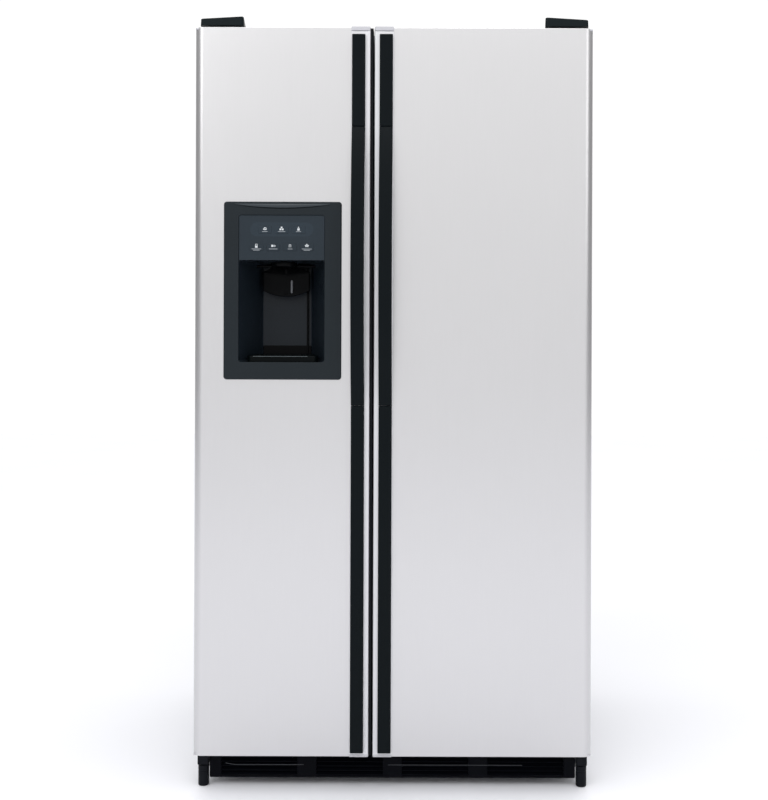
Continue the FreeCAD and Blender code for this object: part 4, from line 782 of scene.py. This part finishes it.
liner_white = plastic("liner_white", (0.8, 0.81, 0.82), 0.26, 0.00003, 300)
roof, machine_roof = 1700, 335
rooms = {"freezer_liner": (-404, -73), "fresh_food_liner": (-25, 404)}
for node, (west, east) in rooms.items():
    depth = np.array([-290.5, -286, -278, 100, 164, 169, 172, 178, 330, 352, 365, 370.5, 372])
    draw = np.array([-1.5, -0.3, 0, 0, 0, 0, 0, 0, 0, 1, 5, 11, 18])
    step = np.array([0, 0, 0, 0, 0, 0.06, 0.9, 1, 1, 1, 1, 1, 1])
    floor_level = 140 + (machine_roof - 140) * step
    middle = np.stack([np.full(13, (west + east) / 2), (roof + floor_level) / 2], -1)
    half = np.stack([(east - west) / 2 - draw, (roof - floor_level) / 2 - draw], -1)
    rings = np.insert(rectangle(middle, half, np.maximum(16 - draw, 6), 6), 1,
                      depth[:, None], axis=2)
    lining = Shell().sheet(rings[::-1], around=True)
    lining.faces += [list(range(rings.shape[1]))]
    piece(node + "_form", "cabinet", lining, liner_white, (node,), thick=-1.6)
    ribs = Shell()
    levels = (560, 830, 1110) if west < -100 else (340, 530, 800, 1080, 1360)
    for level in levels:
        for x_low, x_high in ((west - 1, west + 1.7), (east - 1.7, east + 1)):
            ribs.block((x_low, -126, level - 12.5), (x_high, 316, level - 4.6), 0.9, 0.8, axis=1)
    piece(node + "_ribs", "cabinet", ribs, liner_white)

# ---------------- inner door panels and gaskets
# A white formed panel closes each door's back, with a raised dike all round that enters the
# compartment, and on the freezer door a box over the dispenser; a grey magnetic gasket with
# bellows runs round it.

gasket_grey = plastic("gasket_rubber", (0.26, 0.265, 0.27), 0.6, 0.00005, 600)
dikes = {"freezer_door": (-398, -93.3), "fresh_door": (-4.7, 398)}
for door, (west, east) in dikes.items():
    low, high = corners(door + "_liner")
    if door == "fresh_door":
        panel = Shell().block(low, (high[0], -303, high[2]), 3, 0.8)
    else:
        edges = [(0, low, high, -304.8), (0, low, high, -303)]
        box_low, box_high = np.array([-386, 0, 915]), np.array([-122, 0, 1365])
        rise = [(0, -303), (1, -252), (3.5, -244), (7, -241), (11, -240)]
        fall = [(14, -242.2), (9, -243), (5.7, -246), (3.2, -252), (2.2, -304.8)]
        levels = ([(inset, box_low, box_high, level) for inset, level in fall] + edges
                  + [(inset, box_low, box_high, level) for inset, level in rise])
        panel = Shell().loft(np.vstack([stack(start, end, 18, [(inset, level)], axis=1)
                                        for inset, start, end, level in levels]))
    profile = [(0, -303.4), (0, -300), (1.5, -268), (3.5, -263), (7.5, -261), (16.5, -261),
               (20.5, -263), (22.5, -268), (24, -300), (24, -303.4)]
    panel.loft(stack((west, 0, 165), (east, 0, 1675), 22, profile, axis=1), looped=True)
    piece(door + "_inner_panel", door, panel, liner_white, (door + "_liner",))
    low, high = corners(door + "_gasket")
    profile = [(0.5, -303), (0.2, -300.5), (2.6, -299), (0.2, -297.5), (0, -295), (1, -292.2),
               (14.5, -292.2), (16, -294), (15.8, -297), (13.4, -299), (15.8, -300.5), (15, -303)]
    seal = Shell().loft(stack(low, high, 6, profile, axis=1, steps=4), looped=True)
    piece(door + "_seal", door, seal, gasket_grey, (door + "_gasket",))

# ---------------- clear bins and drawers
# Injection-moulded boxes with round corners, drawn sides and a rolled rim: clear racks on the
# doors and crispers below, white for the freezer basket and the ice bucket.


def glassy(name, colour, rough, **constants):
    """Clear plastic or glass: thin and slightly tinted, with faint flow marks."""
    def look(where):
        flow = where.noise(16, 2, (1, 1, 0.3))
        darker = tuple(0.95 * part for part in colour)
        return {"Base Color": flow.ramp(0.3, 0.7).blend(darker, colour),
                "Roughness": flow.ramp(0.3, 0.7, rough * 0.7, rough * 1.3)}
    return finish(name, colour, rough, look, **constants)


clear = glassy("clear_plastic", (0.86, 0.91, 0.93), 0.1, Alpha=0.36, IOR=1.49)
white_plastic = plastic("white_plastic", (0.78, 0.79, 0.8), 0.4)


def basin(low, high, wall, corner, draft=4, edge=6, axis=2):
    """Rings of an open box: out across the floor, round a quarter circle, up the leaning side,
    over a half-round rim, and down the inside to the floor again.  draft is how far the sides
    lean in at the floor."""
    bottom, rim = low[axis], high[axis]
    turn = np.linspace(0, np.pi, 6)
    lip = np.stack([wall / 2 * (1 - np.cos(turn)), rim - wall / 2 + wall / 2 * np.sin(turn)], 1)
    inside = quarter(edge, bottom + wall, 1)[::-1] + (wall, 0)
    profile = np.vstack([quarter(edge, bottom, 1), [[0, rim - 14], [0, rim - 8]], lip, inside])
    profile[:, 0] += draft * (rim - profile[:, 1]) / (rim - bottom)
    return stack(low, high, corner, profile, axis)


def grooves(shell, low, high, count, depth=1.2):
    """Upright ribs along the front face of a box."""
    for x in np.linspace(low[0] + 26, high[0] - 26, count):
        shell.block((x - 2.2, low[1], low[2] + 12), (x + 2.2, low[1] + depth, high[2] - 26),
                    2, 0.5, steps=3)
    return shell


for node, wall, look, slot in (("crisper_lower", 3, clear, "clear_plastic"),
                               ("crisper_upper", 3, clear, "clear_plastic"),
                               ("freezer_basket", 3, white_plastic, "white_plastic"),
                               ("ice_bucket", 3, white_plastic, "white_plastic")):
    low, high = corners(node)
    drawer = Shell().loft(basin(low + (0.2, 1, 0.2), high - 0.2, wall, 14, 7, 10))
    grip_z = high[2] - 20
    drawer.block((low[0] + 40, low[1] + 0.1, grip_z), (high[0] - 40, low[1] + 9, grip_z + 14),
                 4, 2.5, axis=2)
    if node in ("freezer_basket", "ice_bucket"):
        grooves(drawer, low + (0, 3.4, 0), high, 9, 4)
    piece(node + "_bin", node, drawer, look, (node,))

rack_back = -302.8
bins = {"freezer_door": ((-366, -125.3), (200, 430, 660)),
        "fresh_door": ((27.3, 366), (200, 520, 850, 1180, 1485))}
for door, ((west, east), levels) in bins.items():
    racks = Shell()
    for level in levels:
        racks.loft(basin((west, rack_back, level), (east, -213.2, level + 105), 3, 12, 5, 8))
        racks.loft(stack((west, rack_back, 0), (east, -213, 0), 12,
                         [(0.2, level + 84), (0, level + 86), (0, level + 98),
                          (0.6, level + 100), (3.2, level + 100), (3.2, level + 84)], axis=2),
                   looped=True)
    if door == "fresh_door":
        for x_low in (west, east - 3):
            racks.block((x_low, rack_back, 1487), (x_low + 3, -205.5, 1634), 6, 0.8, axis=0)
        racks.block((west, rack_back, 1631), (east, -205.2, 1634), 5, 1, axis=2)
    piece(door + "_racks", door, racks, clear, (door + "_bins",))
low, high = corners("dairy_lid")
lid = Shell().block((low[0] + 3, -211.5, low[2]), (high[0] - 3, -208.5, high[2] - 3), 5, 1)
lid.block((140, -212.4, low[2] + 1), (255, -209, low[2] + 7), 2, 1)
lid.loft(turned([(0.1, low[0]), (2.4, low[0]), (2.4, high[0]), (0.1, high[0])],
                (0, -210, 1625), 0, 16))
piece("dairy_flap", "dairy_lid", lid, clear, ("dairy_lid",))

# ---------------- shelves
# Fresh-food shelves are tempered glass in white rims on steel ladders; the freezer's are
# welded wire dipped in white.

shelf_glass = glassy("shelf_glass", (0.72, 0.88, 0.84), 0.05, Alpha=0.34, IOR=1.5)
panes, rims = Shell(), Shell()
for level in (340, 530, 800, 1080, 1360):
    panes.block((-13, -110, level), (392, 302, level + 4), 3, 0.8, axis=2)
    profile = [(0.6, level - 4), (0, level - 3), (0, level + 3.6), (1.2, level + 4.8),
               (12, level + 4.8), (13, level + 4.2), (13, level), (10.5, level - 4)]
    rims.loft(stack((-23, -120, 0), (402, 312, 0), 9, profile, axis=2), looped=True)
piece("shelf_panes", "cabinet", panes, shelf_glass, ("glass_shelves",))
piece("shelf_rims", "cabinet", rims, white_plastic)
ladders = Shell()
for x in (92, 287):
    ladders.block((x - 9, 366.5, 560), (x + 9, 372.5, 1640), 2, 1.2)
piece("shelf_ladders", "cabinet", ladders, plated)
# Black slabs on the ladders' faces stand for their slots: painted shade inside the holes.
slots = Shell()
for x in (92, 287):
    for z in np.arange(580, 1625, 27):
        slots.block((x - 2, 366.3, z), (x + 2, 367, z + 14), 1.9, 0.2, steps=2)
piece("ladder_slot_painted_shade", "cabinet", slots, bracket_black)
white_wire = plastic("white_wire", (0.82, 0.83, 0.84), 0.3)
dress(white_wire, "freezer_shelves")

# ---------------- controls, ice maker and duct
# At the top of the fresh-food compartment a white moulding carries the lamp's lens and two dials
# ringed with dot marks; the freezer has the ice maker and the evaporator's cover.

low, high = corners("control_housing")
housing = Shell().block((low[0], -200, low[2]), high, 8, 5, axis=2)
piece("control_box", "cabinet", housing, white_plastic, ("control_housing",))
lens_white = glassy("lamp_lens", (0.9, 0.9, 0.86), 0.2, Transmission_Weight=0.3)
lens = Shell()
for x in np.linspace(20, 360, 18):
    lens.block((x - 8, -150, low[2] - 2.6), (x + 8, 20, low[2] + 1), 3, 1.8, axis=2, steps=3)
piece("lamp_lens", "cabinet", lens, lens_white)
for dial in ("temp_dial_fresh", "temp_dial_freezer"):
    low, high = corners(dial)
    centre = ((low[0] + high[0]) / 2, 0, (low[2] + high[2]) / 2)
    knob = Shell().loft(turned([(3.1, -200.3), (17.4, -200.3), (18, -201), (17.2, -206.4),
                                (16, -207.6), (3.1, -207.8)], centre, 1, 48), looped=True)
    knob.block((centre[0] - 3, -214, low[2] + 1.5), (centre[0] + 3, -207, high[2] - 1.5), 2.6, 1.4)
    piece(dial + "_knob", dial, knob, white_plastic, (dial,))
    marks = Shell()
    for angle in np.radians(np.linspace(-135, 135, 9)):
        spot = np.array([centre[0] + 23.5 * np.sin(angle), centre[2] + 23.5 * np.cos(angle)])
        marks.block((spot[0] - 0.8, -200.35, spot[1] - 0.8), (spot[0] + 0.8, -199.8,
                                                             spot[1] + 0.8), 0.75, 0.1,
                    steps=2)
    piece(dial + "_marks", "cabinet", marks, bracket_black)

low, high = corners("ice_maker")
maker = Shell().loft(basin((-345, low[1], 1560), (high[0], high[1], 1610), 4, 6, 3))
for x in np.linspace(-312, -135, 6):
    maker.block((x - 1.5, low[1] + 3, 1564), (x + 1.5, high[1] - 3, 1604), 1, 0.8, axis=0)
piece("ice_mould", "cabinet", maker, aluminium)
head = Shell().block((low[0], low[1], 1560), (-343, high[1], 1660), 6, 3, axis=0)
head.block((low[0], high[1] - 30, 1655), (-343, high[1], 1699.8), 3, 1.2, axis=0)
piece("ice_maker_head", "cabinet", head, white_plastic, ("ice_maker",))
dress(plated, "feeler_arm")
dress(white_plastic, "evaporator_cover")

# ---------------- seam fin: painted shade
# A soft dark fin, pushed into the freezer door's seam side over its full height, is painted
# shade: it darkens the gap between the doors.

low, high = corners("freezer_door_skin")
seam = Shell().block((high[0] - 0.5, low[1] + 6, low[2] + 1),
                     (high[0] + 6, low[1] + 40, high[2] - 0.4), 1.2, 0.5, axis=2)
piece("seam_painted_shade_fin", "freezer_door", seam, bracket_black)

# ---------------- stage
# A plain pale floor and soft studio light: a broad lamp high on the left, a weak one on the right,
# and a bright surrounding that is a little dimmer in front at eye level.


def pale(where):
    """Very faint clouding, so that the floor isn't one flat tone, and a slight glow all round the
    piece, none under it."""
    east, north, _ = where.axes()
    under = east.size().ramp(0.4, 0.46, 1, 0) * (north + 0.18).size().ramp(0.5, 0.8, 1, 0)
    return {"Base Color": where.noise(1.2, 2).ramp(0.3, 0.7).blend((0.87, 0.875, 0.915),
                                                                    (0.89, 0.895, 0.935)),
            "Emission Color": under.blend((1, 1, 1), (0, 0, 0))}


floor_mesh = bpy.data.meshes.new("floor")
floor_mesh.from_pydata([(-14, -14, 0), (14, -14, 0), (14, 14, 0), (-14, 14, 0)], [], [(0, 1, 2, 3)])
floor = bpy.data.objects.new("floor", floor_mesh)
floor_mesh.materials.append(finish("pale_floor", (0.88, 0.885, 0.925), 0.6, pale,
                                   Emission_Strength=0.07))
bpy.context.scene.collection.objects.link(floor)

world = bpy.data.worlds.new("studio")
bpy.context.scene.world = world
world.use_nodes = True
tree = world.node_tree
direction = Socket(tree, tree.nodes.new("ShaderNodeTexCoord").outputs["Generated"])
across, ahead, up = direction.axes()
sideways = across.size().ramp(0.2, 0.85) * (1 - up.ramp(0.3, 0.6)) * (1 - ahead.ramp(0.6, 0.9))
facing = ahead.ramp(0, 0.3)
strength = (facing * 1.05 + (1 - facing) * up.ramp(0, 0.3, 0.99, 1.2)) * (1 - 0.68 * sideways)
tree.links.new(strength.output, tree.nodes["Background"].inputs["Strength"])
tree.nodes["Background"].inputs["Color"].default_value = (1, 1, 1, 1)


def lamp(name, place, aim, wide, tall, power):
    """A rectangular soft box turned towards a point."""
    light = bpy.data.lights.new(name, "AREA")
    light.shape = "RECTANGLE"
    light.size, light.size_y, light.energy = wide, tall, power
    made = bpy.data.objects.new(name, light)
    bpy.context.scene.collection.objects.link(made)
    made.location = place
    aimed = Vector(aim) - Vector(place)
    made.rotation_euler = aimed.to_track_quat("-Z", "Y").to_euler()
    return made


lamp("key_lamp", (-3, -4.4, 3.8), (0, -0.4, 0.9), 2.6, 2.6, 42)
lamp("fill_lamp", (3.4, -4, 3), (0, -0.4, 0.9), 2.4, 2.4, 22)
lamp("pool_lamp", (0, -3.1, 4.4), (0, -3.1, 0), 1.6, 1.6, 38)

view = bpy.data.cameras.new("camera")
camera = bpy.data.objects.new("camera", view)
bpy.context.scene.collection.objects.link(camera)
door_face = corners("fresh_door_skin")[0][1] * MM
camera.location = (0.07, door_face - 2.6, 0.958)
camera.rotation_euler = (math.radians(90), math.radians(-0.2), 0)
view.lens = 51.5
view.sensor_width = 36
view.shift_x, view.shift_y = -0.05, -0.0364
view.clip_start, view.clip_end = 0.05, 60
bpy.context.scene.camera = camera
bpy.context.scene.view_settings.view_transform = "Standard"
